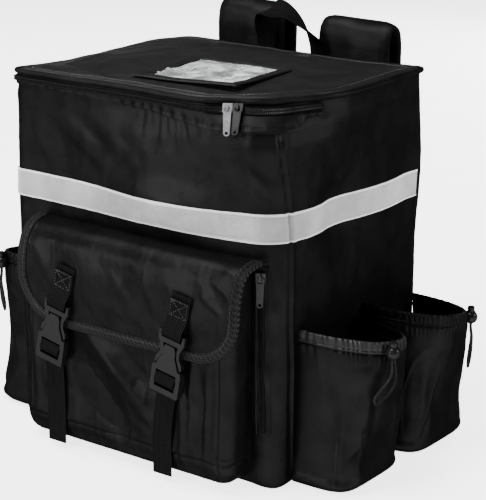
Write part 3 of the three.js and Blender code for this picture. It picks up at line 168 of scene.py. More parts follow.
def table(rows, column, values):
    """Reads the columns after the named first one at given values, rounded at its rows."""
    names = rows[0]._fields
    key = np.array([getattr(row, column) for row in rows])
    others = [name for name in names if name != column]
    result = []
    for name in others:
        data = np.array([getattr(row, name) for row in rows], float)
        slope = np.gradient(data, key)
        seg = np.clip(np.searchsorted(key, values, side="right") - 1, 0, len(key) - 2)
        width = key[seg + 1] - key[seg]
        t = np.clip((values - key[seg]) / width, 0, 1)
        result.append((2 * t**3 - 3 * t**2 + 1) * data[seg] + (t**3 - 2 * t**2 + t) * width * slope[seg]
                      + (-2 * t**3 + 3 * t**2) * data[seg + 1] + (t**3 - t**2) * width * slope[seg + 1])
    return result


# The outline of the box, walked from the middle of the front towards +X

def outline_runs():
    """The box's outline as straight runs and quarter circles, each with its length and where it begins."""
    quarter = math.pi / 2
    front_right, back_right = FRONT_RIGHT_RADIUS, BACK_RIGHT_RADIUS
    front_left, back_left = FRONT_LEFT_RADIUS, BACK_LEFT_RADIUS
    plan = [
        ("line", 0, -HALF_DEPTH, HALF_WIDTH - front_right, -HALF_DEPTH),
        ("arc", HALF_WIDTH - front_right, -HALF_DEPTH + front_right, front_right, -quarter),
        ("line", HALF_WIDTH, -HALF_DEPTH + front_right, HALF_WIDTH, HALF_DEPTH - back_right),
        ("arc", HALF_WIDTH - back_right, HALF_DEPTH - back_right, back_right, 0),
        ("line", HALF_WIDTH - back_right, HALF_DEPTH, -HALF_WIDTH + back_left, HALF_DEPTH),
        ("arc", -HALF_WIDTH + back_left, HALF_DEPTH - back_left, back_left, quarter),
        ("line", -HALF_WIDTH, HALF_DEPTH - back_left, -HALF_WIDTH, -HALF_DEPTH + front_left),
        ("arc", -HALF_WIDTH + front_left, -HALF_DEPTH + front_left, front_left, 2 * quarter),
        ("line", -HALF_WIDTH + front_left, -HALF_DEPTH, 0, -HALF_DEPTH),
    ]
    runs = []
    begins = 0.0
    for kind, x, y, third, fourth in plan:
        if kind == "line":
            length = math.hypot(third - x, fourth - y)
            runs.append(Run(kind, x, y, third, fourth, 0, 0, length, begins))
        else:
            length = third * quarter
            runs.append(Run(kind, x, y, 0, 0, third, fourth, length, begins))
        begins += length
    return runs


RUNS = outline_runs()
PERIMETER = RUNS[-1].begins + RUNS[-1].length


def right_at(y):
    """The walk to a place on the right side."""
    return RUNS[2].begins + y + HALF_DEPTH - FRONT_RIGHT_RADIUS


def left_at(y):
    """The walk to a place on the left side, as a negative length."""
    return RUNS[6].begins + HALF_DEPTH - BACK_LEFT_RADIUS - y - PERIMETER


FRONT_RIGHT_CORNER = RUNS[1].begins + RUNS[1].length / 2
FRONT_LEFT_CORNER = RUNS[7].begins + RUNS[7].length / 2 - PERIMETER
BACK_RIGHT_CORNER = RUNS[3].begins + RUNS[3].length / 2
# The cloth closes on itself behind the left shoulder strap, where nobody sees it
CLOSING_X = -67.0
CLOSING = RUNS[4].begins + RUNS[4].x - CLOSING_X
CORNER_SEAM = RUNS[2].begins - 7


def outline(walk):
    """x, y and the outward direction's x, y after walks of these lengths."""
    d = np.mod(walk, PERIMETER)
    x, y, ox, oy = (np.zeros_like(d) for _ in range(4))
    for run in RUNS:
        inside = (d >= run.begins - 1e-9) & (d < run.begins + run.length + 1e-9)
        t = (d - run.begins) / run.length
        if run.kind == "arc":
            angle = run.start + t * math.pi / 2
            nx, ny = np.cos(angle), np.sin(angle)
            px, py = run.x + run.radius * nx, run.y + run.radius * ny
        else:
            nx = np.full_like(d, (run.y1 - run.y) / run.length)
            ny = np.full_like(d, -(run.x1 - run.x) / run.length)
            px, py = mix(run.x, run.x1, t), mix(run.y, run.y1, t)
        for target, value in ((x, px), (y, py), (ox, nx), (oy, ny)):
            target[inside] = value[inside]
    return x, y, ox, oy


# How the soft walls leave the plain box: reach and swell are shares of the width, up and spread
# shares of the height, heading is in degrees from +X
Swell = namedtuple("Swell", "middle reach up spread swell heading")
WALL_FORMS = [
    Swell(FRONT_RIGHT_CORNER, 0.4, 1, 0.07, -0.103, -45),
    Swell(FRONT_RIGHT_CORNER, 0.24, 0.85, 0.5, -0.05, -45),
    Swell(FRONT_RIGHT_CORNER, 0.08, 0, 0.3, 0.028, -45),
    Swell(25, 0.34, 0.72, 0.105, 0.045, -90),
    Swell(0, 0.32, 0.85, 0.13, 0.02, -90),
    Swell(-10, 0.35, 1, 0.13, -0.02, -90),
    Swell(FRONT_LEFT_CORNER, 0.05, 0.6, 0.5, 0.012, -150),
    Swell(right_at(-27), 0.15, 0.7, 0.16, -0.029, 0),
    Swell(right_at(60), 0.16, 0.7, 0.2, 0.012, 0),
    Swell(BACK_RIGHT_CORNER, 0.07, 0.75, 0.24, 0.014, 30),
    Swell(left_at(0), 0.3, 0.8, 0.16, 0.01, 180),
]
STOPS_PER_RUN = [5, 5, 10, 3, 6, 4, 6, 3, 6]
WALL_ROWS = np.array([0, 0.3, 0.54, 0.615, 0.66, 0.735, 0.79, 0.85, 0.9, 0.955, 1]) * BODY_HEIGHT
LID_SAG = 8.0


def exact_form(walk, z):
    """How far the soft wall has moved along x and y: a sum of humps, each in its own heading."""
    dx, dy = 0.0, 0.0
    for form in WALL_FORMS:
        direct = np.mod(np.abs(walk - form.middle), PERIMETER)
        apart = np.minimum(direct, PERIMETER - direct)
        size = form.swell * BODY_WIDTH * bump(apart / (form.reach * BODY_WIDTH)) \
            * bump((z / BODY_HEIGHT - form.up) / form.spread)
        dx = dx + math.cos(math.radians(form.heading)) * size
        dy = dy + math.sin(math.radians(form.heading)) * size
    return dx, dy


def form_tables():
    """The walls' swell on a fine net, straight between the part's own rows and rounded a little."""
    stops = np.concatenate([run.begins + run.length * np.arange(count) / count
                            for run, count in zip(RUNS, STOPS_PER_RUN)])
    walks, heights = np.arange(0, PERIMETER, 4.0), np.arange(-16, BODY_HEIGHT + 20, 3.0)
    tables = []
    for part in exact_form(stops[:, None], WALL_ROWS[None, :]):
        tall = np.stack([np.interp(heights, WALL_ROWS, row) for row in part])
        wide = np.stack([np.interp(walks, stops, column, period=PERIMETER) for column in tall.T], axis=1)
        for _ in range(2):
            wide = 0.5 * wide + 0.25 * (np.roll(wide, 1, 0) + np.roll(wide, -1, 0))
            padded = np.pad(wide, ((0, 0), (1, 1)), mode="edge")
            wide = 0.5 * wide + 0.25 * (padded[:, :-2] + padded[:, 2:])
        tables.append(wide)
    return walks, heights, tables


FORM_WALKS, FORM_HEIGHTS, FORM_TABLES = form_tables()


def wall_form(walk, z):
    """Reads the net of the walls' swell, straight between its four nearest places."""
    d = np.mod(walk, PERIMETER) / 4.0
    h = np.clip((z + 16) / 3.0, 0, len(FORM_HEIGHTS) - 1.001)
    column = np.floor(d).astype(int) % len(FORM_WALKS)
    following = (column + 1) % len(FORM_WALKS)
    row = np.floor(h).astype(int)
    across, up = d - np.floor(d), h - row
    result = []
    for net in FORM_TABLES:
        low = mix(net[column, row], net[following, row], across)
        high = mix(net[column, row + 1], net[following, row + 1], across)
        result.append(mix(low, high, up))
    return result


def lid_sag(x, y):
    """How far the lid and rim sag: the squares of the shares towards the left and the back."""
    left = np.maximum(0, -x / HALF_WIDTH) ** 2 * (1 - np.maximum(0, -y / HALF_DEPTH) ** 2)
    back = 0.6 * np.maximum(0, y / HALF_DEPTH) ** 2 * (1 - np.maximum(0, x / HALF_WIDTH) ** 2)
    return LID_SAG * np.maximum(0, np.maximum(left, back))


def wall(walk, z, outward=0.0):
    """Points of the soft wall, or of a layer that lies outward of it."""
    walk, z, outward = np.broadcast_arrays(*(np.asarray(part, float) for part in (walk, z, outward)))
    x, y, ox, oy = outline(walk)
    dx, dy = wall_form(walk, np.clip(z, 0, BODY_HEIGHT))
    sagging = np.clip((z - WALL_ROWS[8]) / (BODY_HEIGHT - WALL_ROWS[8]), 0, 1)
    return stack(x + ox * outward + dx, y + oy * outward + dy, z - lid_sag(x, y) * sagging)


SEAM_LEAN = 14.0

# Folds that the photograph shows on the walls: u is the walk from the middle of the front, v the height
Gather = namedtuple("Gather", "x lean low")
ZIP_GATHERS = [
    Gather(-4, 3, 368), Gather(7, 4, 356), Gather(15, 6, 364), Gather(27, 6, 350), Gather(35, 8, 361),
    Gather(47, 7, 348), Gather(60, 9, 358), Gather(70, 6, 364),
]
WALL_FOLDS = [
    *[Fold(row.x, 390, row.x + row.lean, row.low, 3.6, 1.0) for row in ZIP_GATHERS],
    Fold(-122, 365, -38, 313, 10, 2.6),
    Fold(-100, 372, -30, 330, 6, -1.2),
    Fold(-150, 340, -110, 300, 9, 1.4),
    Fold(-60, 362, 10, 318, 8, 1.3),
    Fold(100, 352, 150, 322, 10, 1.8),
    Fold(132, 346, 168, 316, 5, 1.4),
    Fold(140, 372, 150, 300, 8, 1.2),
    Fold(152, 236, 170, 180, 5, 1.9),
    Fold(160, 246, 174, 200, 4, -1.2),
    Fold(148, 150, 172, 90, 6, 1.4),
    Fold(250, 250, 262, 175, 9, 0.6),
    Fold(292, 258, 288, 190, 9, -0.6),
    Fold(210, 370, 300, 352, 10, 0.6),
]


def wall_relief(walk, z):
    """How the cloth of the walls stands off its padding, with seams drawn in."""
    signed = np.mod(walk, PERIMETER)
    signed = np.where(signed > PERIMETER / 2, signed - PERIMETER, signed)
    at = wall(walk, z)
    relief = fold_field(signed, z, WALL_FOLDS)
    beside = mix(1.0, 0.5, step_up(signed, CORNER_SEAM, CORNER_SEAM + 40))
    relief = relief + (0.6 * noise(at, 95, 11) + 0.4 * creases(at, 70, 13, (1, 1, 1.7))) * beside
    relief = relief + 0.3 * noise(at, 38, 12, (1, 1, 1.6)) + 0.12 * noise(at, 15, 14)
    relief = relief + 0.07 * noise(at, 8, 15)
    lean = SEAM_LEAN * step_up(z, 0.66 * BODY_HEIGHT, BODY_HEIGHT)
    for seam in (CORNER_SEAM - lean, FRONT_LEFT_CORNER - 6, BACK_RIGHT_CORNER):
        away = signed - seam
        relief = relief - 2.0 * ridge(away, 1.5) + 1.1 * ridge(away - 4.5, 2.2) \
            + 0.6 * ridge(away + 5, 2.5)
    quiet = step_up(z, 0, 14) * (1 - step_up(z, 376, 392))
    return relief * quiet


# Meshes

def finished(name, node, vertices, faces, finish, uv, sharp=40, body="bag"):
    """One piece at the origin, in metres, that rides on a body and may stand in for a node of the part."""
    mesh = bpy.data.meshes.new(name)
    vertices = np.asarray(vertices, float).reshape(-1, 3) * MM
    faces = np.asarray(faces, np.int32)
    sides = faces.shape[1]
    mesh.vertices.add(len(vertices))
    mesh.vertices.foreach_set("co", vertices.ravel())
    mesh.loops.add(faces.size)
    mesh.loops.foreach_set("vertex_index", faces.ravel())
    mesh.polygons.add(len(faces))
    mesh.polygons.foreach_set("loop_start", np.arange(0, faces.size, sides, dtype=np.int32))
    mesh.polygons.foreach_set("use_smooth", np.ones(len(faces), bool))
    layer = mesh.uv_layers.new(name="cloth")
    layer.data.foreach_set("uv", (np.asarray(uv, float).reshape(-1, 2)[faces.ravel()] * MM).ravel())
    mesh.update(calc_edges=True)
    mesh.validate()
    mesh.set_sharp_from_angle(angle=math.radians(sharp))
    mesh.materials.append(MATERIALS[finish])
    piece = bpy.data.objects.new(name, mesh)
    bpy.context.scene.collection.objects.link(piece)
    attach(piece, body)
    if node:
        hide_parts(node)
    return piece


def grid_faces(rows, columns, wrap_rows=False, wrap_columns=False):
    """Squares between neighbours on a grid, joined to its first row or column where it wraps."""
    index = np.arange(rows * columns).reshape(rows, columns)
    if wrap_rows:
        index = np.vstack([index, index[:1]])
    if wrap_columns:
        index = np.hstack([index, index[:, :1]])
    quads = np.stack([index[:-1, :-1], index[:-1, 1:], index[1:, 1:], index[1:, :-1]], axis=-1)
    return quads.reshape(-1, 4)


def lengths_of(points):
    """Cloth coordinates of a grid: lengths along its columns and rows."""
    along = np.zeros(points.shape[:2])
    along[:, 1:] = np.cumsum(np.linalg.norm(np.diff(points, axis=1), axis=2), axis=1)
    down = np.zeros(points.shape[:2])
    down[1:] = np.cumsum(np.linalg.norm(np.diff(points, axis=0), axis=2), axis=0)
    return np.stack([along, down], axis=-1)


def grid_piece(name, node, points, finish, body="bag", **wraps):
    """A surface through a grid of points, closed on itself where it wraps."""
    faces = grid_faces(*points.shape[:2], **wraps)
    return finished(name, node, points, faces, finish, lengths_of(points), body=body)


def slab_piece(name, node, face, back, finish):
    """A sheet with thickness between two grids, closed along all four of its edges."""
    rows, columns = face.shape[:2]
    ring = np.concatenate([face, back[::-1]])
    uv = lengths_of(face)
    uv = np.concatenate([uv, uv[::-1]])
    index = np.arange(2 * rows * columns).reshape(2 * rows, columns)
    near, far = index[:rows], index[rows:][::-1]
    start = np.stack([near[:-1, 0], near[1:, 0], far[1:, 0], far[:-1, 0]], axis=1)
    end = np.stack([near[:-1, -1], far[:-1, -1], far[1:, -1], near[1:, -1]], axis=1)
    faces = np.concatenate([grid_faces(2 * rows, columns, wrap_rows=True), start, end])
    return finished(name, node, ring, faces, finish, uv)


def capped_piece(name, node, rings, finish, body="bag"):
    """Closed rings in a row, with their two ends drawn together in a point."""
    first, last = (np.repeat(ring.mean(axis=1, keepdims=True), rings.shape[1], axis=1)
                   for ring in (rings[:1], rings[-1:]))
    points = np.concatenate([first, rings, last])
    return grid_piece(name, node, points, finish, body, wrap_columns=True)


def sweep(stops, across, out, section):
    """Rings of a section along a route: rows are stops, columns walk round the section."""
    section = np.asarray(section, float)
    if section.ndim == 2:
        section = np.broadcast_to(section, (len(stops),) + section.shape)
    return stops[:, None, :] + across[:, None, :] * section[..., :1] + out[:, None, :] * section[..., 1:]


def band_section(width, thickness, count=10, rib=0.0):
    """A flat strap's section with rounded edges, and fine ribs along it if asked for."""
    xs = np.linspace(-width / 2, width / 2, count)
    edge = np.sqrt(np.clip(1 - (np.abs(xs) / (width / 2)) ** 8, 0.02, 1)) * thickness / 2
    edge = edge + rib * np.cos(xs * 2 * np.pi / 5.0) * (np.abs(xs) < width * 0.42)
    return np.concatenate([np.stack([xs, -edge], 1), np.stack([xs[::-1], edge[::-1]], 1)])


def tangents(stops):
    """The direction along a route at each of its points."""
    return unit(np.gradient(stops, axis=0))


def round_section(radius, sides):
    """A circle: the cosine and sine of even turns."""
    angle = np.linspace(0, 2 * np.pi, sides, endpoint=False)
    return np.stack([radius * np.cos(angle), radius * np.sin(angle)], 1)


def tube(stops, radius, sides):
    """Rings of a round tube along a route, with a frame that doesn't spin."""
    ahead = tangents(stops)
    side = np.zeros_like(stops)
    previous = unit(np.cross(ahead[0], [0.3, 0.2, 1.0]))
    for i, direction in enumerate(ahead):
        previous = unit(previous - direction * (previous @ direction))
        side[i] = previous
    return sweep(stops, side, np.cross(ahead, side), round_section(radius, sides))


# Shaders

class Field:
    """A shader value on which Python's own signs add Math nodes."""

    def __init__(self, nodes, socket):
        self.nodes = nodes
        self.socket = socket

    def maths(self, operation, first, second=0.0):
        """One Math node on one or two values."""
        return self.nodes.field("ShaderNodeMath", {"operation": operation}, {0: first, 1: second})

    def __add__(self, other):
        return self.maths("ADD", self, other)

    def __sub__(self, other):
        return self.maths("SUBTRACT", self, other)

    def __rsub__(self, other):
        return self.maths("SUBTRACT", other, self)

    def __mul__(self, other):
        return self.maths("MULTIPLY", self, other)

    __radd__ = __add__
    __rmul__ = __mul__

    def sine(self):
        """The sine of the value in radians."""
        return self.maths("SINE", self)

    def absolute(self):
        """The value without its sign."""
        return self.maths("ABSOLUTE", self)

    def wave(self, length):
        """A sine that repeats after this length in metres."""
        return (self * (2 * math.pi / length)).sine()

    def above(self, low, high):
        """0 below low, 1 above high, and smooth between."""
        return self.nodes.field("ShaderNodeMapRange", {"interpolation_type": "SMOOTHSTEP"},
                                {"Value": self, "From Min": low, "From Max": high})


class Nodes:
    """The node tree of one material, and the one method that adds nodes to it."""

    def __init__(self, name):
        self.material = bpy.data.materials.new(name)
        self.material.use_nodes = True
        self.tree = self.material.node_tree
        self.shader = next(n for n in self.tree.nodes if n.type == "BSDF_PRINCIPLED")

    def put(self, value, socket):
        """Links a field or a socket to a socket, or sets a plain value on it."""
        value = value.socket if isinstance(value, Field) else value
        if isinstance(value, bpy.types.NodeSocket):
            self.tree.links.new(value, socket)
        else:
            socket.default_value = value

    def add(self, kind, settings, sockets):
        """Adds a node: its settings are set first, then the values or links of its sockets."""
        node = self.tree.nodes.new(kind)
        for name, value in settings.items():
            setattr(node, name, value)
        for name, value in sockets.items():
            self.put(value, node.inputs[name])
        return node

    def field(self, kind, settings, sockets):
        """The first output of a new node, as a field."""
        return Field(self, self.add(kind, settings, sockets).outputs[0])

    def place(self, kind):
        """Where a point lies: Object for its place in space, UV for its lengths along the cloth."""
        return self.add("ShaderNodeTexCoord", {}, {}).outputs[kind]

    def cloth_place(self):
        """The two lengths along the cloth, as fields in metres."""
        split = self.add("ShaderNodeSeparateXYZ", {}, {"Vector": self.place("UV")})
        return Field(self, split.outputs[0]), Field(self, split.outputs[1])

    def noise(self, scale, detail=3.0):
        """Soft noise over the piece, with this many clouds to the metre."""
        return self.field("ShaderNodeTexNoise", {}, {"Vector": self.place("Object"), "Scale": scale,
                                                     "Detail": detail, "Roughness": 0.55})

    def relief(self, height, distance):
        """Lets a field raise the surface by up to this distance in metres."""
        node = self.add("ShaderNodeBump", {}, {"Height": height, "Distance": distance})
        self.put(node.outputs[0], self.shader.inputs["Normal"])

    def colour(self, field, dark, light):
        """Mixes two colours by a field."""
        node = self.add("ShaderNodeMix", {"data_type": "RGBA"}, {0: field, 6: (*dark, 1), 7: (*light, 1)})
        self.put(node.outputs[2], self.shader.inputs["Base Color"])

    def set(self, **inputs):
        """Sets or links the shader's own sockets, and gives the finished material."""
        for name, value in inputs.items():
            self.put(value, self.shader.inputs[name.replace("_", " ")])
        return self.material


# Coated cloth and moulded plastic shine like a dull metal, so that nothing flares at a flat angle
SATIN_SHARE = 0.6
SATIN = {"Metallic": SATIN_SHARE, "Specular_IOR_Level": 0.0, "Specular_Tint": (0, 0, 0, 1)}
THREAD_PITCH = 0.0016
NET_PITCH = 0.003


def cloth_material(name, dark, light, roughness):
    """Coated nylon: a fine plain weave with an uneven satin shine that doesn't flare at its edges."""
    nodes = Nodes(name)
    u, v = nodes.cloth_place()
    threads = u.wave(THREAD_PITCH) * v.wave(THREAD_PITCH)
    cloudy = nodes.noise(38, 4)
    nodes.relief(threads * 0.35 + nodes.noise(420) * 0.9 + cloudy * 1.2, 0.00016)
    nodes.colour(cloudy.above(0.3, 0.7), dark, light)
    return nodes.set(Roughness=cloudy * 0.12 + (roughness - 0.06), **SATIN)


def webbing_material(name, dark, light, roughness):
    """Flat woven strap with slanted rows."""
    nodes = Nodes(name)
    u, v = nodes.cloth_place()
    slanted = (v * (2 * math.pi / 0.0024) + u.wave(0.006) * 1.4).sine()
    rows = u.wave(0.002)
    nodes.relief(slanted * 0.6 + rows * 0.4, 0.0004)
    nodes.colour((slanted + rows * 0.5).above(-1.2, 1.2), dark, light)
    return nodes.set(Roughness=roughness, **SATIN)


def band_material(name, dark, light, roughness):
    """Grey reflective tape, whiter along its two edges, with a fine slanted net."""
    nodes = Nodes(name)
    u, v = nodes.cloth_place()
    across = (v - BAND_WIDE * MM / 2).absolute()
    edge = across.above(BAND_WIDE * MM * 0.42, BAND_WIDE * MM * 0.465)
    net = (u + v).wave(NET_PITCH) * (u - v).wave(NET_PITCH)
    nodes.relief(net * 0.3 + nodes.noise(90, 4) * 1.4, 0.0004)
    nodes.colour(edge * 0.75 + nodes.noise(26, 4).above(0.25, 0.75) * 0.25, dark, light)
    return nodes.set(Roughness=roughness, Metallic=0.25)


def film_material(name, dark, light, roughness):
    """Clear soft film, milky and creased."""
    nodes = Nodes(name)
    cloudy = nodes.noise(34, 5)
    nodes.relief(nodes.noise(60, 4) * 1.5 + nodes.noise(140) * 0.5, 0.0012)
    nodes.colour(cloudy.above(0.35, 0.65), dark, light)
    clear = cloudy.above(0.3, 0.75) * 0.5 + 0.4
    return nodes.set(Roughness=roughness, Alpha=clear, Coat_Weight=0.6, Coat_Roughness=0.1)


def thread_material(name, dark, light, roughness):
    """Plain sewing thread, speckled."""
    nodes = Nodes(name)
    nodes.colour(nodes.noise(900, 2), dark, light)
    return nodes.set(Roughness=roughness)


def hard_material(name, dark, light, roughness, metallic, specular, tint):
    """Moulded plastic or metal with a faint grain."""
    nodes = Nodes(name)
    grain = nodes.noise(260)
    nodes.relief(grain, 0.00006)
    nodes.colour(grain, dark, light)
    return nodes.set(Roughness=nodes.noise(60, 2) * 0.12 + (roughness - 0.06), Metallic=metallic,
                     Specular_IOR_Level=specular, Specular_Tint=(tint, tint, tint, 1))


# dark is the share of its colour that a finish keeps where it is darkest, and more holds a hard
# finish's metallic share, specular level and tint
Finish = namedtuple("Finish", "key slot make name dark roughness more", defaults=[()])
FINISHES = [
    Finish("wall", "black_cloth", cloth_material, "wall_cloth", 0.737, 0.28),
    # The lid finish is the walls' black nylon in a lighter tone: painted light on the upward faces of the
    # lid and the window border.
    Finish("lid", "lid_cloth", cloth_material, "lid_cloth", 0.772, 0.32),
    Finish("trim", "black_cloth", cloth_material, "trim_cloth", 0.668, 0.34),
    Finish("binding", "black_cloth", webbing_material, "binding_tape", 0.294, 0.45),
    # The hem finish is the black nylon made lighter: a painted sheen, used only on the front right cup
    # pocket's hem.
    Finish("hem", "black_cloth", cloth_material, "ruched_hem", 0.677, 0.24),
    Finish("webbing", "webbing", webbing_material, "webbing", 0.19, 0.62),
    Finish("band", "reflective_cloth", band_material, "reflective_tape", 0.338, 0.42),
    Finish("film", "clear_film", film_material, "clear_film", 0.351, 0.2),
    Finish("cord", "cord", webbing_material, "cord", 0.302, 0.4),
    Finish("thread", "black_cloth", thread_material, "thread", 0.445, 0.5),
    Finish("plastic", "black_plastic", hard_material, "black_plastic", 0.739, 0.18,
           (SATIN_SHARE, 0.0, 0.1)),
    Finish("teeth", "black_plastic", hard_material, "zip_teeth", 0.739, 0.3,
           (SATIN_SHARE, 0.0, 0.0)),
    # A darker copy of the sliders' nickel: painted shade on the lid zip's right slider and pull, also used
    # for the upright zip's slider.
    Finish("gunmetal", "bright_metal", hard_material, "dark_metal", 0.739, 0.28, (0.9, 0.1, 1.0)),
    Finish("nickel", "bright_metal", hard_material, "nickel", 0.739, 0.24, (1.0, 0.5, 1.0)),
    Finish("black_metal", "black_plastic", hard_material, "black_metal", 0.739, 0.36, (0.0, 0.2, 1.0)),
]
MATERIALS = {}


BAND_LOW = 0.66 * BODY_HEIGHT
BAND_WIDE = 0.075 * BODY_HEIGHT


def make_materials(settings):
    """Makes each finish from its light colour in the settings and the dark share of it."""
    for finish in FINISHES:
        light = np.array(getattr(settings, finish.key + "_colour"))
        MATERIALS[finish.key] = finish.make(finish.name, light * finish.dark, light, finish.roughness,
                                            *finish.more)


# Pieces

def stitches(name, route, out, pitch=4.2, length=2.8, wide=0.75):
    """Small raised threads along a route, each a stretched octahedron."""
    chord = np.linalg.norm(np.diff(route, axis=0), axis=1)
    at = np.concatenate([[0], np.cumsum(chord)])
    middles = np.arange(pitch / 2, at[-1], pitch)
    centre = np.stack([np.interp(middles, at, route[:, k]) for k in range(3)], 1)
    normal = unit(np.stack([np.interp(middles, at, out[:, k]) for k in range(3)], 1))
    ahead = unit(np.stack([np.interp(middles, at, tangents(route)[:, k]) for k in range(3)], 1))
    side = np.cross(normal, ahead)
    corners = [ahead * length / 2, side * wide / 2, normal * wide / 2]
    points = np.stack([centre + sign * corner for sign in (1, -1) for corner in corners], axis=1)
    pattern = np.array([[0, 1, 2], [0, 2, 4], [0, 4, 5], [0, 5, 1],
                        [3, 2, 1], [3, 4, 2], [3, 5, 4], [3, 1, 5]])
    faces = (pattern[None] + 6 * np.arange(len(middles))[:, None, None]).reshape(-1, 3)
    return finished(name, None, points, faces, "thread", np.zeros((points.size // 3, 2)), 80)


def build_body():
    """The padded box as one closed skin: level rings of the soft wall up the outside, down the inside.

    The outer rings stand off by the wall's relief, and the foot turns in along a quarter circle.
    """
    walks = CLOSING + np.linspace(0, PERIMETER, 460, endpoint=False)
    heights = np.concatenate([np.linspace(BASE_EDGE, 360, 108), np.linspace(360, BODY_HEIGHT, 18)[1:]])
    foot = np.linspace(0, np.pi / 2, 7)[:-1]
    rings = [wall(walks, 0, -BASE_EDGE - 24)]
    rings += [wall(walks, BASE_EDGE * (1 - math.cos(t)), BASE_EDGE * (math.sin(t) - 1)) for t in foot]
    rings += [wall(walks, z, wall_relief(walks, np.full_like(walks, z))) for z in heights]
    rings += [wall(walks, z, -PADDED_WALL) for z in (BODY_HEIGHT, 360, 300, 180, 60, BASE_THICKNESS)]
    body = capped_piece("padded_box", "body_shell", np.stack(rings), "wall")


LID_BASE = BODY_HEIGHT + SEAT
LID_THICKNESS = 6.0
LID_CROWN = 3.5
PIPING_RADIUS = 3.0
PANEL_INSET = PIPING_RADIUS / 2 + SEAT


def lid_height(x, y):
    """The lid's top: a low crown that falls to its edges, less the sag."""
    across = 1 - np.minimum(1, np.abs(x / HALF_WIDTH)) ** 2.5
    along = 1 - np.minimum(1, np.abs(y / HALF_DEPTH)) ** 2.5
    return LID_BASE + LID_THICKNESS + LID_CROWN * across * along - lid_sag(x, y)


LID_FOLDS = [
    Fold(-150, -95, -60, -120, 9, 1.0), Fold(-120, -60, -70, -110, 8, -0.8),
    Fold(-165, 20, -150, -80, 7, 1.1), Fold(-60, 80, 60, 100, 12, 0.9), Fold(100, -110, 150, -60, 8, 1.0),
    Fold(120, 10, 155, 70, 9, -0.9), Fold(-10, 40, 70, 60, 12, 0.8), Fold(-90, 30, -30, 60, 10, -0.7),
    Fold(20, -122, 110, -116, 5, 0.8),
]


def lid_relief(x, y, share):
    """Soft waves of the lid, with a stitched line drawn in round its edge."""
    flat = stack(x, y, 0 * x)
    relief = fold_field(x, y, LID_FOLDS) + 0.8 * noise(flat, 85, 21) + 0.3 * noise(flat, 34, 22) \
        + 0.12 * noise(flat, 15, 24)
    relief = relief + 0.35 * creases(flat, 60, 23)
    seam = -0.9 * ridge(share - 0.955, 0.006)
    return relief * np.clip((1 - share) / 0.05, 0, 1) + seam


def build_lid():
    """The padded lid panel, its piping, and the clear document window with its cloth frame.

    The panel is the rim's outline shrunk by shares towards its middle, at the lid's height plus its
    relief. The piping is a circle carried round the rim.
    """
    walks = CLOSING + np.linspace(0, PERIMETER, 380, endpoint=False)
    edge = wall(walks, BODY_HEIGHT, -PANEL_INSET)
    rings = [wall(walks, LID_BASE, -PADDED_WALL - 1), wall(walks, LID_BASE, -PANEL_INSET)]
    rings += [wall(walks, LID_BASE + LID_THICKNESS * share, -PANEL_INSET) for share in (0.35, 0.7)]
    for share in np.concatenate([np.linspace(0.988, 0.9, 14), np.linspace(0.9, 0.02, 62)[1:]]):
        x, y = edge[:, 0] * share, edge[:, 1] * share
        rings.append(stack(x, y, lid_height(x, y) + lid_relief(x, y, share)))
    panel = capped_piece("lid_cloth_panel", "lid_panel", np.stack(rings), "lid")

    walks = CLOSING + np.linspace(0, PERIMETER, 520, endpoint=False)
    _, _, ox, oy = outline(walks)
    middle = wall(walks, LID_BASE + PIPING_RADIUS, PIPING_RADIUS / 2 + SEAT)
    wave = 0.35 * noise(middle, 30, 31)
    section = round_section(PIPING_RADIUS, 14)
    upward = stack(0 * ox, 0 * ox, 0 * ox + 1)
    rings = sweep(middle + stack(0 * ox, 0 * ox, wave), stack(ox, oy, 0 * ox), upward, section)
    grid_piece("edge_piping", "lid_piping", rings, "trim", wrap_rows=True, wrap_columns=True)
    seam = wall(walks, LID_BASE + LID_THICKNESS, -PANEL_INSET)
    x, y = seam[:, 0] * 0.94, seam[:, 1] * 0.94
    seam = stack(x, y, lid_height(x, y) + lid_relief(x, y, 0.94) + 0.1)
    stitches("lid_stitches", seam, stack(0 * x, 0 * x, 0 * x + 1))
    build_window()


WINDOW_WIDTH = 130.0
WINDOW_DEPTH = 112.0
WINDOW_BORDER = 11.0
WINDOW_BORDER_LEFT = 20.0
WINDOW_X = 24.0
WINDOW_Y = -44.0
WINDOW_TURN = math.radians(4)
WINDOW_CORNER_LIFT = 5.0
FILM_HIDDEN = 3.0
# From the border's outer edge to its inner one
BorderStop = namedtuple("BorderStop", "share lift")
BORDER_PROFILE = [
    BorderStop(0, 0), BorderStop(0, 0.8), BorderStop(0.06, 1.5), BorderStop(0.3, 1.7),
    BorderStop(0.62, 1.5), BorderStop(0.72, 1.0), BorderStop(0.8, 1.5), BorderStop(0.95, 1.4),
    BorderStop(1, 0.8), BorderStop(1, 0),
]


def window_point(across, back, lift):
    """A point of the turned window: it follows the lid, waves, and lifts at its front right corner."""
    x = WINDOW_X + across * math.cos(WINDOW_TURN) - back * math.sin(WINDOW_TURN)
    y = WINDOW_Y + across * math.sin(WINDOW_TURN) + back * math.cos(WINDOW_TURN)
    forward = np.clip(0.5 - back / WINDOW_DEPTH, 0, 1)
    right = np.clip(0.5 + across / WINDOW_WIDTH, 0, 1)
    waves = 0.5 * noise(stack(x, y, 0 * x), 40, 41) + 0.5
    return stack(x, y, lid_height(x, y) + 1.3 + WINDOW_CORNER_LIFT * forward**2 * right**2 + waves + lift)


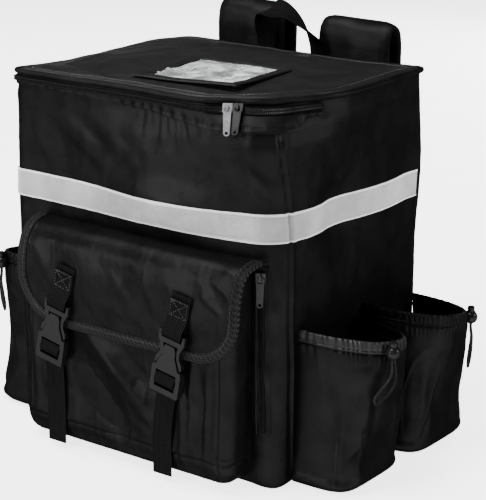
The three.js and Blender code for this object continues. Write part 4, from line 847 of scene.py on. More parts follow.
def build_window():
    """The window: its border's profile is carried round a frame, and the film is a crinkled sheet."""
    open_left, open_right = -WINDOW_WIDTH / 2 + WINDOW_BORDER_LEFT, WINDOW_WIDTH / 2 - WINDOW_BORDER
    open_depth = WINDOW_DEPTH / 2 - WINDOW_BORDER
    outer = [(-WINDOW_WIDTH / 2, -WINDOW_DEPTH / 2), (WINDOW_WIDTH / 2, -WINDOW_DEPTH / 2),
             (WINDOW_WIDTH / 2, WINDOW_DEPTH / 2), (-WINDOW_WIDTH / 2, WINDOW_DEPTH / 2)]
    inner = [(open_left, -open_depth), (open_right, -open_depth), (open_right, open_depth),
             (open_left, open_depth)]
    side = np.linspace(0, 1, 40, endpoint=False)[:, None]
    loops = []
    for corners in (outer, inner):
        corners = np.array(corners, float)
        loops.append(np.concatenate([mix(corners[i], corners[(i + 1) % 4], side) for i in range(4)]))
    rings = []
    for share, lift in BORDER_PROFILE:
        place = mix(loops[0], loops[1], share)
        rings.append(window_point(place[:, 0], place[:, 1], lift - 0.4))
    grid_piece("window_border", "window_frame", np.stack(rings), "lid", wrap_rows=True, wrap_columns=True)
    across, back = np.meshgrid(np.linspace(open_left - FILM_HIDDEN, open_right + FILM_HIDDEN, 110),
                               np.linspace(-open_depth - FILM_HIDDEN, open_depth + FILM_HIDDEN, 96))
    flat = stack(across, back, 0 * back)
    crinkle = 0.7 * noise(flat, 26, 42) + 0.9 * creases(flat, 30, 43) + 0.35 * creases(flat, 14, 44) - 0.4
    crinkle *= np.clip((open_depth + FILM_HIDDEN - np.abs(back)) / 8, 0, 1)
    face = window_point(across, back, 0.1 + crinkle)
    slab_piece("window_sheet", "window_film", face, face - np.array([0, 0, 0.3]), "film")


ZIP_HIGH = BODY_HEIGHT - SEAT
ZIP_MIDDLE = ZIP_HIGH - 4.5
ZIP_TAPE_HEIGHT = 18.0
TAPE_OUT = WRAP_SEAT + 1.4
TEETH_OUT = TAPE_OUT + 1.45
ZIP_START_Y = 81.0
ZIP_END_Y = -58.0
ZIP_TUCK_Y = -98.0
ZIP_TUCK = 0.62
ZipDepth = namedtuple("ZipDepth", "across deep")
ZIP_DEPTHS = [ZipDepth(-0.5, 0.62), ZipDepth(-0.22, 0.72), ZipDepth(0.04, 0.9), ZipDepth(0.26, 1.4),
              ZipDepth(0.4, 1.35), ZipDepth(0.5, 1.3)]


def zip_low(walks):
    """The tape's lower edge: it deepens towards the right corner and is tucked up where it ends."""
    across = outline(walks)[0] / BODY_WIDTH
    deep = np.interp(across, [row.across for row in ZIP_DEPTHS], [row.deep for row in ZIP_DEPTHS])
    deep = deep - ZIP_TUCK * step_up(walks, right_at(ZIP_TUCK_Y), right_at(ZIP_TUCK_Y + 14))
    return ZIP_HIGH - ZIP_TAPE_HEIGHT * deep


COIL_HALF = 3.0
TOOTH_PITCH = 1.9


def coil_piece(name, node, along, across, walks, z):
    """A zip's coil: a flat arch over the tape, ribbed by a sine along it and grooved down its middle."""
    tooth = 0.45 * np.sin(along * 2 * np.pi / TOOTH_PITCH + np.pi * (across > 0)) * (np.abs(across) < 0.7)
    arch = 1.8 * np.sqrt(np.clip(1 - np.abs(across) ** 4, 0, 1)) - 0.7 * ridge(across, 0.12)
    face, back = wall(walks, z, TEETH_OUT + arch + tooth), wall(walks, z, TAPE_OUT)
    slab_piece(name, node, face, back, "teeth")


def build_lid_zip():
    """The zip under the lid: a tape between two heights, puckered by a sine along it, and a coil."""
    walks = np.linspace(left_at(ZIP_START_Y), right_at(ZIP_END_Y), 760)
    shares = np.linspace(0, 1, 16)[:, None]
    low = zip_low(walks)[None, :]
    z = mix(low, ZIP_HIGH, shares)
    pucker = (0.35 + 0.5 * ridge(walks - 40, 60)) * np.sin(walks / 2.3 + 1.2 * np.sin(walks / 17))
    pucker = pucker[None, :]
    hem = 0.7 * ridge(z - low - 2.2, 1.2) - 0.5 * ridge(z - low - 5, 1.0)
    relief = pucker * np.clip(1 - np.abs(shares - 0.25) / 0.3, 0, 1) + hem
    face = wall(walks[None, :], z, TAPE_OUT + relief)
    back = wall(walks[None, :], z, WRAP_SEAT * 0.5)
    slab_piece("zip_cloth_tape", "zip_tape", face, back, "trim")
    walks = np.linspace(left_at(ZIP_START_Y), right_at(ZIP_END_Y), 1900)[None, :]
    across = np.linspace(-1, 1, 11)[:, None]
    coil_piece("zip_coil", "zip_teeth", walks, across, walks, ZIP_MIDDLE + COIL_HALF * across + 0 * walks)


SIDE_ZIP_X = 156.0
SIDE_ZIP_LOW = 60.0
SIDE_ZIP_HIGH = 240.0
SIDE_ZIP_WIDTH = 15.0


def build_side_zip():
    """The upright zip beside the pocket: a tape on the wall with a ridge near each edge, and a coil."""
    heights = np.linspace(SIDE_ZIP_LOW, SIDE_ZIP_HIGH, 160)[None, :]
    across = np.linspace(-1, 1, 22)[:, None]
    walks = SIDE_ZIP_X + across * SIDE_ZIP_WIDTH / 2 + 0 * heights
    edge = 0.5 * ridge(np.abs(across) - 0.86, 0.07) - 0.4 * ridge(np.abs(across) - 0.66, 0.06)
    wave = 0.3 * np.sin(heights / 6) * (np.abs(across) > 0.5)
    face = wall(walks, heights, TAPE_OUT + edge + wave + wall_relief(walks, heights + 0 * walks))
    slab_piece("side_zip_cloth_tape", "side_zip_tape", face, wall(walks, heights, 0.2), "trim")
    heights = np.linspace(SIDE_ZIP_LOW + 4, SIDE_ZIP_HIGH - 4, 640)[None, :]
    across = np.linspace(-1, 1, 11)[:, None]
    walks = SIDE_ZIP_X + across * COIL_HALF + 0 * heights
    coil_piece("side_zip_coil", "side_zip_teeth", heights, across, walks, heights)


def build_band():
    """The grey reflective band: a strip of the wall, on the wall's own folds, ridged along both edges."""
    walks = np.linspace(left_at(HALF_DEPTH - BACK_LEFT_RADIUS - 4),
                        right_at(HALF_DEPTH - BACK_RIGHT_RADIUS - 4), 620)
    shares = np.linspace(0, 1, 30)[:, None]
    z = BAND_LOW + BAND_WIDE * shares + 0 * walks[None, :]
    edge = 0.35 * ridge(np.abs(shares - 0.5) - 0.45, 0.025) - 0.3 * ridge(np.abs(shares - 0.5) - 0.4, 0.02)
    relief = wall_relief(walks[None, :] + 0 * z, z)
    face = wall(walks[None, :], z, WRAP_SEAT + 0.9 + edge + relief)
    back = wall(walks[None, :], z, 0.3 + relief)
    slab_piece("reflective_tape_band", "reflective_band", face, back, "band")


POCKET_LEFT = -139.0
POCKET_RIGHT = 143.0
POCKET_DEPTH = 40.0
POCKET_LOW = 4.0
POCKET_HIGH = 232.0
POCKET_CORNER = 16.0
POCKET_BACK = -HALF_DEPTH - SEAT
PocketRow = namedtuple("PocketRow", "up depth narrow")
POCKET_ROWS = [
    PocketRow(0, 0.52, 1), PocketRow(0.02, 0.76, 0.6), PocketRow(0.08, 0.98, 0), PocketRow(0.25, 1.02, 0),
    PocketRow(0.45, 0.99, 0), PocketRow(0.7, 0.98, 0), PocketRow(0.86, 0.92, 0), PocketRow(1, 0.62, 0),
]
POCKET_FOLDS = [
    Fold(-50, 150, 56, 56, 15, 8.0), Fold(-70, 104, 14, 30, 15, -6.5), Fold(-50, 150, 40, 78, 5, 2.0),
    Fold(-10, 140, 50, 92, 9, -2.6), Fold(84, 150, 86, 14, 5, 3.6), Fold(98, 146, 94, 40, 4, 2.6),
    Fold(106, 138, 110, 26, 5, -2.0), Fold(91, 100, 93, 76, 1.6, -2.6), Fold(118, 144, 114, 40, 4, 2.2),
    Fold(86, 118, 104, 84, 5, 1.6), Fold(-124, 150, -114, 40, 5, 1.5), Fold(-104, 90, -76, 20, 8, 1.4),
    Fold(10, 60, 48, 42, 6, 1.2), Fold(64, 130, 68, 50, 5, -1.4),
]
POCKET_SEAM_Z = 33.0


def pocket_ring(up, inset, columns, relief=True):
    """A level ring of the pocket: back, left corner, face and right corner."""
    depth, narrow = table(POCKET_ROWS, "up", np.array([up]))
    depth, narrow = float(depth[0]), max(0.0, float(narrow[0]))
    z = mix(POCKET_LOW, POCKET_HIGH, up)
    left = POCKET_LEFT + narrow * POCKET_CORNER + inset
    right = POCKET_RIGHT - narrow * POCKET_CORNER - inset
    back = POCKET_BACK - inset
    front = POCKET_BACK - depth * POCKET_DEPTH + inset
    radius = max(1.0, POCKET_CORNER * min(1.0, depth) - inset)
    angle = np.linspace(0, np.pi / 2, 16)
    side = np.linspace(0, 1, 8)[1:-1]
    face = np.linspace(left + radius, right - radius, columns)[1:-1]
    sine, cosine = np.sin(angle), np.cos(angle)
    # x, y and the outward direction's x, y
    ring = np.concatenate([
        stack(np.linspace(right, left, 16), back, 0, 0),
        stack(left, mix(back, front + radius, side), -1, 0),
        stack(left + radius - radius * cosine, front + radius - radius * sine, -cosine, -sine),
        stack(face, front, 0, -1),
        stack(right - radius + radius * sine, front + radius - radius * cosine, sine, -cosine),
        stack(right, mix(front + radius, back, side), 1, 0)])
    xs, out = ring[:, 0], ring[:, 2:]
    points = stack(xs, ring[:, 1], z)
    if relief:
        lift = fold_field(xs, z + 0 * xs, POCKET_FOLDS) + 0.8 * noise(points, 62, 51)
        lift = lift + 0.5 * creases(points, 55, 52, (1, 1, 1.8))
        lift = lift + 0.22 * noise(points, 17, 53) + 0.1 * noise(points, 8, 54)
        lift = lift - 1.2 * ridge(z - POCKET_SEAM_Z, 1.4) + 0.7 * ridge(z - POCKET_SEAM_Z - 5, 3)
        edge = 0.8 * ridge(xs - right + 9, 2) - 1.6 * ridge(xs - right + 13, 1.4)
        edge = edge - 0.8 * ridge(xs - left - 10, 1.4) - 0.7 * ridge(xs - left - 16, 1.2)
        fade = step_up(z, POCKET_LOW, POCKET_LOW + 12) * (1 - step_up(z, 190, 228))
        points[:, :2] += out * ((lift + edge) * fade)[:, None]
    return points


def build_pocket():
    """The front pocket: level rings up its outside and down its inside, with folds on the outer ones."""
    ups = np.concatenate([np.linspace(0, 0.1, 12), np.linspace(0.1, 1, 110)[1:]])
    outer = [pocket_ring(up, 0, 220) for up in ups]
    inner = [pocket_ring(up, CLOTH, 220, False) for up in (1, 0.86, 0.7, 0.45, 0.25, 0.08)]
    last = pocket_ring(0.03, CLOTH, 220, False)
    capped_piece("pocket_cloth", "front_pocket", np.stack([*outer, *inner, last]), "wall")


FLAP_LEFT = -135.0
FLAP_RIGHT = 158.0
FLAP_TOP = 245.0
FLAP_LOW = 143.0
FLAP_CORNER = 54.0
BINDING_WIDTH = 9.0
STITCH_COLUMN = 14
FlapStop = namedtuple("FlapStop", "out down")
FLAP_PROFILE = [
    FlapStop(0.03, -0.01), FlapStop(0.33, -0.02), FlapStop(0.62, 0.01), FlapStop(0.86, 0.1),
    FlapStop(1.01, 0.26), FlapStop(1.07, 0.48), FlapStop(1.08, 0.75), FlapStop(1.08, 1),
]
FLAP_CURVE = spline([(0, POCKET_BACK - stop.out * POCKET_DEPTH,
                      FLAP_TOP - stop.down * (FLAP_TOP - FLAP_LOW))
                     for stop in FLAP_PROFILE], 400)
FLAP_STEPS = np.concatenate([[0], np.cumsum(np.linalg.norm(np.diff(FLAP_CURVE, axis=0), axis=1))])
FLAP_LENGTH = FLAP_STEPS[-1]
# u is x, v the length of cloth from the seam
FLAP_FOLDS = [
    Fold(118, 40, 150, 56, 4.2, 2.0), Fold(108, 56, 142, 76, 4.6, 1.8), Fold(130, 28, 152, 36, 3.4, 1.4),
    Fold(100, 36, 124, 62, 6, 1.5), Fold(-120, 40, -90, 80, 8, 1.5),
    Fold(-10, 60, 30, 96, 9, 1.1), Fold(-40, 50, 20, 64, 10, -1.0), Fold(30, 40, 60, 100, 8, 1.0),
    Fold(-50, 90, 60, 104, 6, 1.0), Fold(106, 96, 140, 84, 5, 1.4), Fold(-124, 18, 150, 18, 12, 1.0),
]


def flap_point(x, length, outward=0.0):
    """A point of the flap after this length of cloth from its seam, moved outward from the rolled curve."""
    share = np.clip(length / FLAP_LENGTH, 0, 1)
    y = np.interp(length, FLAP_STEPS, FLAP_CURVE[:, 1])
    z = np.interp(length, FLAP_STEPS, FLAP_CURVE[:, 2])
    ahead = np.gradient(FLAP_CURVE[:, 1:], FLAP_STEPS, axis=0)
    along_y = np.interp(length, FLAP_STEPS, ahead[:, 0])
    along_z = np.interp(length, FLAP_STEPS, ahead[:, 1])
    height = np.hypot(along_y, along_z)
    seam = np.maximum(0, wall(x, FLAP_TOP + 0 * x)[..., 1] + HALF_DEPTH) * np.maximum(0, 1 - share / 0.2)
    return stack(x, y + seam + outward * along_z / height, z - outward * along_y / height)


def flap_narrow(length):
    """How far the flap's rounded corner has drawn in: a quarter circle."""
    into = np.maximum(0, length - (FLAP_LENGTH - FLAP_CORNER))
    return FLAP_CORNER - np.sqrt(np.maximum(0, FLAP_CORNER**2 - into**2))


def flap_relief(x, length):
    """The flap's folds and soft waves, flat at its seam and quieter under its binding."""
    flat = stack(x, length, 0 * x)
    relief = fold_field(x, length, FLAP_FOLDS) + 0.9 * noise(flat, 60, 61) + 0.2 * creases(flat, 45, 62)
    relief = relief + 0.16 * noise(flat, 17, 64) + 0.08 * noise(flat, 8, 65)
    return relief * step_up(length, 2, 50) * (1 - 0.6 * step_up(length, FLAP_LENGTH - 16, FLAP_LENGTH - 4))


def mirrored(rows):
    """The right half of the binding's route from its left half: x, length, and the direction inwards."""
    return np.stack([FLAP_LEFT + FLAP_RIGHT - rows[:, 0], rows[:, 1], -rows[:, 2], rows[:, 3]], 1)[::-1]


def build_flap():
    """The flap over the pocket, its bound and rolled edge, and the stitches along it.

    The flap is a grid of places across and lengths of cloth on the rolled curve, narrowed by a quarter
    circle at both lower corners. The binding is an arch across its width, carried along the edge.
    """
    turn = np.linspace(0, np.pi / 2, 40)
    sine, cosine = np.sin(turn), np.cos(turn)
    rounded = FLAP_LENGTH - FLAP_CORNER * (1 - sine)
    lengths = np.concatenate([np.linspace(0, FLAP_LENGTH - FLAP_CORNER, 60), rounded[1:]])[:, None]
    shares = np.linspace(0, 1, 260)[None, :]
    narrow = flap_narrow(lengths)
    x = mix(FLAP_LEFT + narrow, FLAP_RIGHT - narrow, shares)
    relief = flap_relief(x, lengths + 0 * x)
    flap = slab_piece("flap_cloth", "front_flap", flap_point(x, lengths + 0 * x, CLOTH + relief),
                      flap_point(x, lengths + 0 * x, 0.2), "wall")

    side = np.linspace(BINDING_WIDTH, FLAP_LENGTH - FLAP_CORNER, 50, endpoint=False)
    bottom = np.linspace(FLAP_LEFT + FLAP_CORNER, FLAP_RIGHT - FLAP_CORNER, 120)[1:-1]
    left = stack(FLAP_LEFT, side, 1, 0)
    corner = stack(FLAP_LEFT + FLAP_CORNER * (1 - cosine), rounded, cosine, -sine)
    bottom = stack(bottom, FLAP_LENGTH, 0, -1)
    route = np.concatenate([left, corner, bottom, mirrored(corner), mirrored(left)])
    x, length, in_x, in_length = route.T[:, :, None]
    inward = np.linspace(-1.2, BINDING_WIDTH + 1.5, 20)[None, :]
    share = (inward + 1.2) / (BINDING_WIDTH + 2.7)
    at_x, at_length = x + in_x * inward, length + in_length * inward
    wave = 0.35 * noise(stack(at_x, at_length, 0 * at_x), 26, 63)
    swell = 2.4 * np.sqrt(np.clip(1 - np.abs(2 * share - 1) ** 3, 0, 1)) - 0.5 * ridge(share - 0.72, 0.05)
    low = CLOTH + 0.2 + flap_relief(at_x, at_length)
    face = flap_point(at_x, at_length, low + swell + wave)
    back = flap_point(at_x, at_length, -1.2 + 0 * at_x)
    binding = slab_piece("flap_edge_tape", "flap_binding", face.transpose(1, 0, 2),
                         back.transpose(1, 0, 2), "binding")
    line = face[:, STITCH_COLUMN]
    seam = stitches("flap_stitches", line, np.broadcast_to([0.0, -1.0, 0.15], line.shape), pitch=3.6,
                    length=2.6)


CLIP_LENGTH = 70.0
CLIP_PLUG_THICKNESS = 5.0
CLIP_SOCKET_THICKNESS = 8.0
WEBBING_WIDTH = 25.0
WEBBING_THICKNESS = 1.6
PATCH_HEIGHT = 33.0
STRAP_TAIL_LOW = 7.0
STRAP_TOP = 213.0
BAR_ALONG = 42.0
FACE_Y = POCKET_BACK - 1.08 * POCKET_DEPTH - CLOTH
PATCH_Y = FACE_Y - SEAT
CLIP_Y = PATCH_Y - WEBBING_THICKNESS - 1.5
FlapStrap = namedtuple("FlapStrap", "side x lean tail")
FLAP_STRAPS = [FlapStrap("left", -66, 11, -86), FlapStrap("right", 90, 10, 61)]


def strap_rings(route, wide, count, width=WEBBING_WIDTH, thickness=WEBBING_THICKNESS, rib=0.12):
    """Rings of a flat strap through control points, whose width lies along the given directions."""
    joined = spline(np.hstack([route, wide]), count)
    stops, across = joined[:, :3], joined[:, 3:]
    ahead = tangents(stops)
    across = unit(across - ahead * np.sum(across * ahead, axis=1, keepdims=True))
    return sweep(stops, across, np.cross(across, ahead), band_section(width, thickness, 26, rib))


# The box and cross sewn through the patch, in one line
SeamStop = namedtuple("SeamStop", "across down")
PATCH_SEAM = [
    SeamStop(-10.4, 8), SeamStop(10.4, 8), SeamStop(10.4, 25), SeamStop(-10.4, 25), SeamStop(-10.4, 8),
    SeamStop(10.4, 25), SeamStop(-10.4, 25), SeamStop(10.4, 8),
]


def build_flap_straps():
    """The two webbing straps: a sewn patch and loop on the flap, and the tail below each clip.

    Each is the flat section of webbing carried along a smooth route through the clip's bars.
    """
    for side, x, lean, tail in FLAP_STRAPS:
        angle = math.radians(lean)
        down = np.array([-math.sin(angle), 0, -math.cos(angle)])
        across = np.array([math.cos(angle), 0, -math.sin(angle)])

        def along(length, y):
            """The point this far down the leaning strap, at this depth."""
            point = np.array([x, 0, STRAP_TOP]) + down * length
            point[1] = y
            return point

        bar = BAR_ALONG + 0.02 * CLIP_LENGTH
        clip = CLIP_Y - CLIP_PLUG_THICKNESS / 2
        reach = CLIP_PLUG_THICKNESS / 2 + 0.7 + WEBBING_THICKNESS / 2
        back_y = PATCH_Y - WEBBING_THICKNESS / 2
        doubled = back_y - WEBBING_THICKNESS - SEAT
        over = bar + 0.045 * CLIP_LENGTH
        route = np.array([along(length, y) for length, y in (
            (0, back_y), (PATCH_HEIGHT, back_y), (bar - 2, back_y), (over, clip + reach),
            (bar + 0.058 * CLIP_LENGTH, clip), (over, clip - reach), (bar - 4, clip - reach),
            (PATCH_HEIGHT - 2, mix(clip - reach, doubled, 0.55)), (PATCH_HEIGHT - 9, doubled),
            (6, doubled))])
        rings = strap_rings(route, np.tile(across, (len(route), 1)), 150)
        capped_piece(f"flap_loop_{side}", f"flap_strap_{side}", rings, "webbing")
        sewn = doubled - WEBBING_THICKNESS / 2 - 0.2
        seam = np.array([along(stop.down, sewn) + across * stop.across for stop in PATCH_SEAM])
        facing_out = np.tile([0.0, -1.0, 0.0], (len(seam), 1))
        stitches(f"patch_stitches_{side}", seam, facing_out, 3.2, 2.3, 0.7)

        lock_bar = BAR_ALONG + CLIP_LENGTH * 0.775
        socket_back = clip + CLIP_SOCKET_THICKNESS / 2
        cover = clip - CLIP_SOCKET_THICKNESS / 2 - SEAT - WEBBING_THICKNESS / 2
        end = along(BAR_ALONG + CLIP_LENGTH, 0)
        face = POCKET_BACK - 1.02 * POCKET_DEPTH - 3.2 - WEBBING_THICKNESS / 2
        behind = socket_back + SEAT + WEBBING_THICKNESS
        hang = [along(lock_bar + share * CLIP_LENGTH, y) for share, y in (
            (-0.095, cover + 2.5), (-0.06, cover), (0.06, cover), (0.095, clip), (0.115, behind))]
        below = end[2] - 22
        tails = [(mix(end[0], tail, 0.35), behind, end[2] - 6), (mix(end[0], tail, 0.7), face, below),
                 (tail, face, below - 25), (tail, face, STRAP_TAIL_LOW + 14), (tail, face, STRAP_TAIL_LOW)]
        route = np.array([*hang, *tails])
        wide = np.array([across] * len(hang) + [(1.0, 0.0, 0.0)] * len(tails))
        capped_piece(f"pocket_strap_{side}_webbing", f"pocket_strap_{side}",
                     strap_rings(route, wide, 170), "webbing")


CupRow = namedtuple("CupRow", "up depth width square forward")
CUP_ROWS = [
    CupRow(0, 0.74, 1, 5, 0.08), CupRow(0.02, 0.78, 1.06, 5, 0.08), CupRow(0.1, 0.79, 1.07, 5, 0.07),
    CupRow(0.35, 0.83, 1.02, 4, 0.02), CupRow(0.65, 0.91, 1, 3.2, 0), CupRow(0.88, 0.99, 1, 2.6, 0),
    CupRow(1, 0.97, 0.97, 2.4, 0),
]
FLAT_ROWS = [
    CupRow(0, 0.94, 0.98, 5, 0.03), CupRow(0.02, 1, 1.03, 5, 0.03), CupRow(0.1, 0.98, 1.03, 5, 0.03),
    CupRow(0.3, 0.9, 1, 5, 0.01), CupRow(0.65, 0.92, 1, 5, 0), CupRow(0.88, 0.95, 1, 5, 0),
    CupRow(1, 0.95, 0.97, 4.5, 0),
]
REAR_ROWS = [row._replace(forward=-0.4 * row.forward) for row in CUP_ROWS]
CUP_WIDTH = 106.0
RIM_LIFT = 8.0
CUP_LOW = 3.0
CupPocket = namedtuple("CupPocket", "place hand middle rows depth rim hem")
CUP_POCKETS = [
    # Only the front right pocket's hem takes the lighter hem finish, a painted sheen; the other hems take
    # the wall cloth.
    CupPocket("right_front", 1, -44, CUP_ROWS, 88, 161, "hem"),
    CupPocket("right_rear", 1, 75, REAR_ROWS, 93, 157, "wall"),
    CupPocket("left_front", -1, -60, FLAT_ROWS, 62, 174, "wall"),
    CupPocket("left_rear", -1, 58, FLAT_ROWS, 62, 174, "wall"),
]
# u is the way round the pocket from its back edge in degrees, v the height
CUP_FOLDS = {
    "right_front": [
        Fold(130, 140, 114, 66, 11, 5.4), Fold(152, 136, 150, 40, 7, -2.4), Fold(104, 130, 98, 60, 6, -2.8),
        Fold(122, 46, 98, 4, 11, 5.0), Fold(84, 120, 78, 30, 7, 2.6), Fold(60, 120, 66, 30, 5, 1.8),
        Fold(40, 130, 46, 20, 4, 1.8), Fold(150, 60, 130, 14, 7, 1.6), Fold(72, 140, 70, 96, 3, -1.4),
    ],
    "right_rear": [
        Fold(130, 120, 120, 40, 7, 2.0), Fold(100, 130, 92, 50, 6, 1.6), Fold(70, 120, 76, 30, 6, 1.8),
        Fold(40, 110, 44, 30, 5, 1.6), Fold(110, 60, 96, 12, 8, 2.0),
    ],
    "left_front": [Fold(140, 150, 132, 70, 7, -2.2), Fold(100, 140, 96, 50, 7, 1.6),
                   Fold(150, 90, 140, 24, 6, 2.0)],
    "left_rear": [Fold(120, 150, 116, 60, 7, -1.6), Fold(80, 140, 84, 50, 7, 1.6),
                  Fold(60, 90, 52, 30, 6, 1.4)],
}


def cup_surface(pocket, degrees, z_share, inset=0.0, relief=0.0):
    """Points of a cup pocket: 0 degrees is its back edge on the wall and 180 its front edge."""
    depth, width, square, forward = table(pocket.rows, "up", z_share)
    angle = np.radians(degrees)
    cosine, sine = np.cos(angle), np.sin(angle)
    share = np.sign(cosine) * np.abs(cosine) ** (2 / square)
    out = np.abs(sine) ** (2 / square)
    half = width * CUP_WIDTH / 2 - inset
    y = pocket.middle - forward * CUP_WIDTH + share * half
    z = mix(CUP_LOW, pocket.rim - RIM_LIFT * share, z_share)
    walk = right_at(y) if pocket.hand > 0 else left_at(y)
    swell = np.maximum(0, pocket.hand * wall(walk, z)[..., 0] - HALF_WIDTH)
    reach = depth * pocket.depth - 2 * inset
    x = HALF_WIDTH + swell + WRAP_SEAT + inset + out * (reach - swell)
    x = x + relief * np.clip(sine, 0, 1) ** 0.5
    y = y + relief * cosine * 0.9
    return stack(pocket.hand * x, y, z)


HEM = 13.0
HEM_LIFT = 0.25


def cup_relief(pocket, degrees, z):
    """The ruched hem, its double seam and the folds of one pocket."""
    rim = pocket.rim - RIM_LIFT * np.cos(np.radians(degrees))
    below = rim - z
    flat = stack(degrees * 0.9, z, 0 * z + 37 * len(pocket.place) + pocket.middle)
    loose = pocket.hand > 0
    folds = fold_field(degrees, z, CUP_FOLDS[pocket.place]) * step_up(below, HEM, HEM + 14)
    ruche = (0.5 if loose else 0.3) * np.sin(degrees * 1.25 + 2.6 * np.sin(degrees / 7.3) + z / 30)
    uneven = noise(stack(degrees, 0.25 * z, 0 * z + pocket.middle), 9, 74)
    ruche = ruche + (0.45 if loose else 0.25) * uneven
    gather = ruche * (ridge(below, 8) + 0.7 * ridge(below - 15, 8))
    seam = -1.1 * ridge(below - HEM, 1.1) - 0.9 * ridge(below - HEM + 4, 1.0)
    hem = 1.3 * step_up(HEM - below, 0, 2.5) * (1 - step_up(HEM - below, HEM - 2, HEM))
    slack = 0.9 * noise(flat, 55, 71) + 0.6 * creases(flat, 48, 72, (1, 1.7, 1)) + 0.3 * noise(flat, 18, 73)
    foot = step_up(z, CUP_LOW, CUP_LOW + 14)
    return (folds + slack * step_up(below, 4, 20)) * foot + gather + seam + hem


def build_cup_pockets():
    """The four cup pockets: half rings on the wall by degrees and height, with ruched hems and floors."""
    for pocket in CUP_POCKETS:
        degrees = np.linspace(0, 180, 300)[None, :]
        ups = np.concatenate([np.linspace(0, 0.06, 7), np.linspace(0.06, 0.86, 76)[1:],
                              np.linspace(0.86, 1, 26)[1:]])[:, None]
        share = ups + 0 * degrees
        z = mix(CUP_LOW, pocket.rim - RIM_LIFT * np.cos(np.radians(degrees)), share)
        relief = cup_relief(pocket, degrees + 0 * share, z)
        face = cup_surface(pocket, degrees + 0 * share, share, 0, relief)
        back = cup_surface(pocket, degrees + 0 * share, np.maximum(share, 0.025), CLOTH,
                           np.minimum(relief, 0.4))
        cloth = slab_piece(f"cup_cloth_{pocket.place}", f"cup_pocket_{pocket.place}", face, back, "wall")
        tall = pocket.rim - RIM_LIFT * np.cos(np.radians(degrees)) - CUP_LOW
        share = 1 - HEM / tall * np.linspace(1, 0, 22)[:, None]
        relief = cup_relief(pocket, degrees + 0 * share, CUP_LOW + tall * share)
        hem = cup_surface(pocket, degrees + 0 * share, share, 0, relief + HEM_LIFT)
        under_hem = cup_surface(pocket, degrees + 0 * share, share, 0, relief - HEM_LIFT)
        hem = slab_piece(f"cup_hem_{pocket.place}", None, hem, under_hem, pocket.hem)
        foot = cup_surface(pocket, degrees[0], np.zeros(300), 0.5, 0.0)
        middle = np.tile(foot.mean(axis=0), (300, 1))
        under = np.stack([mix(middle, foot, t) for t in (0, 0.5, 1)])
        floor = slab_piece(f"cup_floor_{pocket.place}", None, under, under + np.array([0, 0, 1.6]), "wall")
        lengths = lengths_of(face)


LOCK_RADIUS = 7.5
LOCK_FLAT = 0.8
BUTTON_LOW = 4.0
BUTTON_TRAVEL = 4.0
# The ball's bore from its mouth down, with room under the pressed button, and the button from its foot up
TurnStop = namedtuple("TurnStop", "radius height")
BORE = [TurnStop(4.9, 6.3), TurnStop(4.45, 5.6), TurnStop(4.4, BUTTON_LOW - BUTTON_TRAVEL - 0.6)]
BUTTON = [TurnStop(3.8, BUTTON_LOW), TurnStop(4.0, 8.5), TurnStop(3.95, 10.8), TurnStop(3.6, 12.0),
          TurnStop(2.8, 12.4)]
CORD_THICKNESS = 3.0
CORD_START = 3.2
# Outward, sideways and upward from the lock's middle, out of one hole and back into the other
CORD_LOOP = np.array([
    (3.2, -1.7, -7.05), (3.6, -1.9, -14), (4.6, -3, -20), (4.4, -6, -26), (4, -11, -31), (3.8, -17, -35),
    (3.6, -23, -39), (3.6, -27, -43.5), (3.8, -25.5, -48.5), (4.2, -19, -47.5), (4.8, -10.5, -43.5),
    (5, -3, -38.5), (5, 1.6, -31), (4.8, 2.6, -22), (3.6, 2.2, -14), (3.2, 1.7, -7.05)])


def lathe(profile, centre, sides=40):
    """Rings of a turned piece whose axis is upright: profile rows are radius and height."""
    angle = np.linspace(0, 2 * np.pi, sides, endpoint=False)
    rings = [stack(centre[0] + r * np.cos(angle), centre[1] + r * np.sin(angle), centre[2] + h + 0 * angle)
             for r, h in profile]
    return np.stack(rings)


def build_cord_locks():
    """The ball locks and buttons, turned from profiles, and round cord along a smooth route."""
    for pocket in CUP_POCKETS:
        low, high = (np.array(corner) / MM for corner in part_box(f"cord_lock_{pocket.place}"))
        middle = (low + high) / 2
        middle[2] = low[2] + LOCK_RADIUS - LOCK_FLAT
        turn = np.linspace(-math.acos(0.1) + 0.05, 1.0, 22)
        shell = [(LOCK_RADIUS * math.cos(t), LOCK_RADIUS * math.sin(t)) for t in turn]
        shell[0] = (shell[0][0], LOCK_FLAT - LOCK_RADIUS)
        capped_piece(f"lock_ball_{pocket.place}", f"cord_lock_{pocket.place}",
                     lathe([*shell, *BORE], middle), "plastic")
        capped_piece(f"lock_cap_{pocket.place}", f"lock_button_{pocket.place}",
                     lathe(BUTTON, middle, 32), "plastic", f"lock_button_{pocket.place}_body")
        lock_away = unit(middle[:2] - np.array([pocket.hand * HALF_WIDTH, pocket.middle]))
        sideways = np.array([-lock_away[1] * pocket.hand, lock_away[0] * pocket.hand])
        route = np.zeros_like(CORD_LOOP)
        outward = CORD_LOOP[:, :1] - CORD_START
        route[:, :2] = middle[:2] + outward * lock_away + CORD_LOOP[:, 1:2] * sideways
        route[:, 2] = middle[2] + CORD_LOOP[:, 2]
        stops = spline(route, 170)
        cord = capped_piece(f"cord_loop_{pocket.place}", f"draw_cord_{pocket.place}",
                            tube(stops, CORD_THICKNESS / 2, 14), "cord")
        path = [tuple(place * MM) for place in (*stops[::6], stops[-1])]
        tuple(stops[0] * MM)


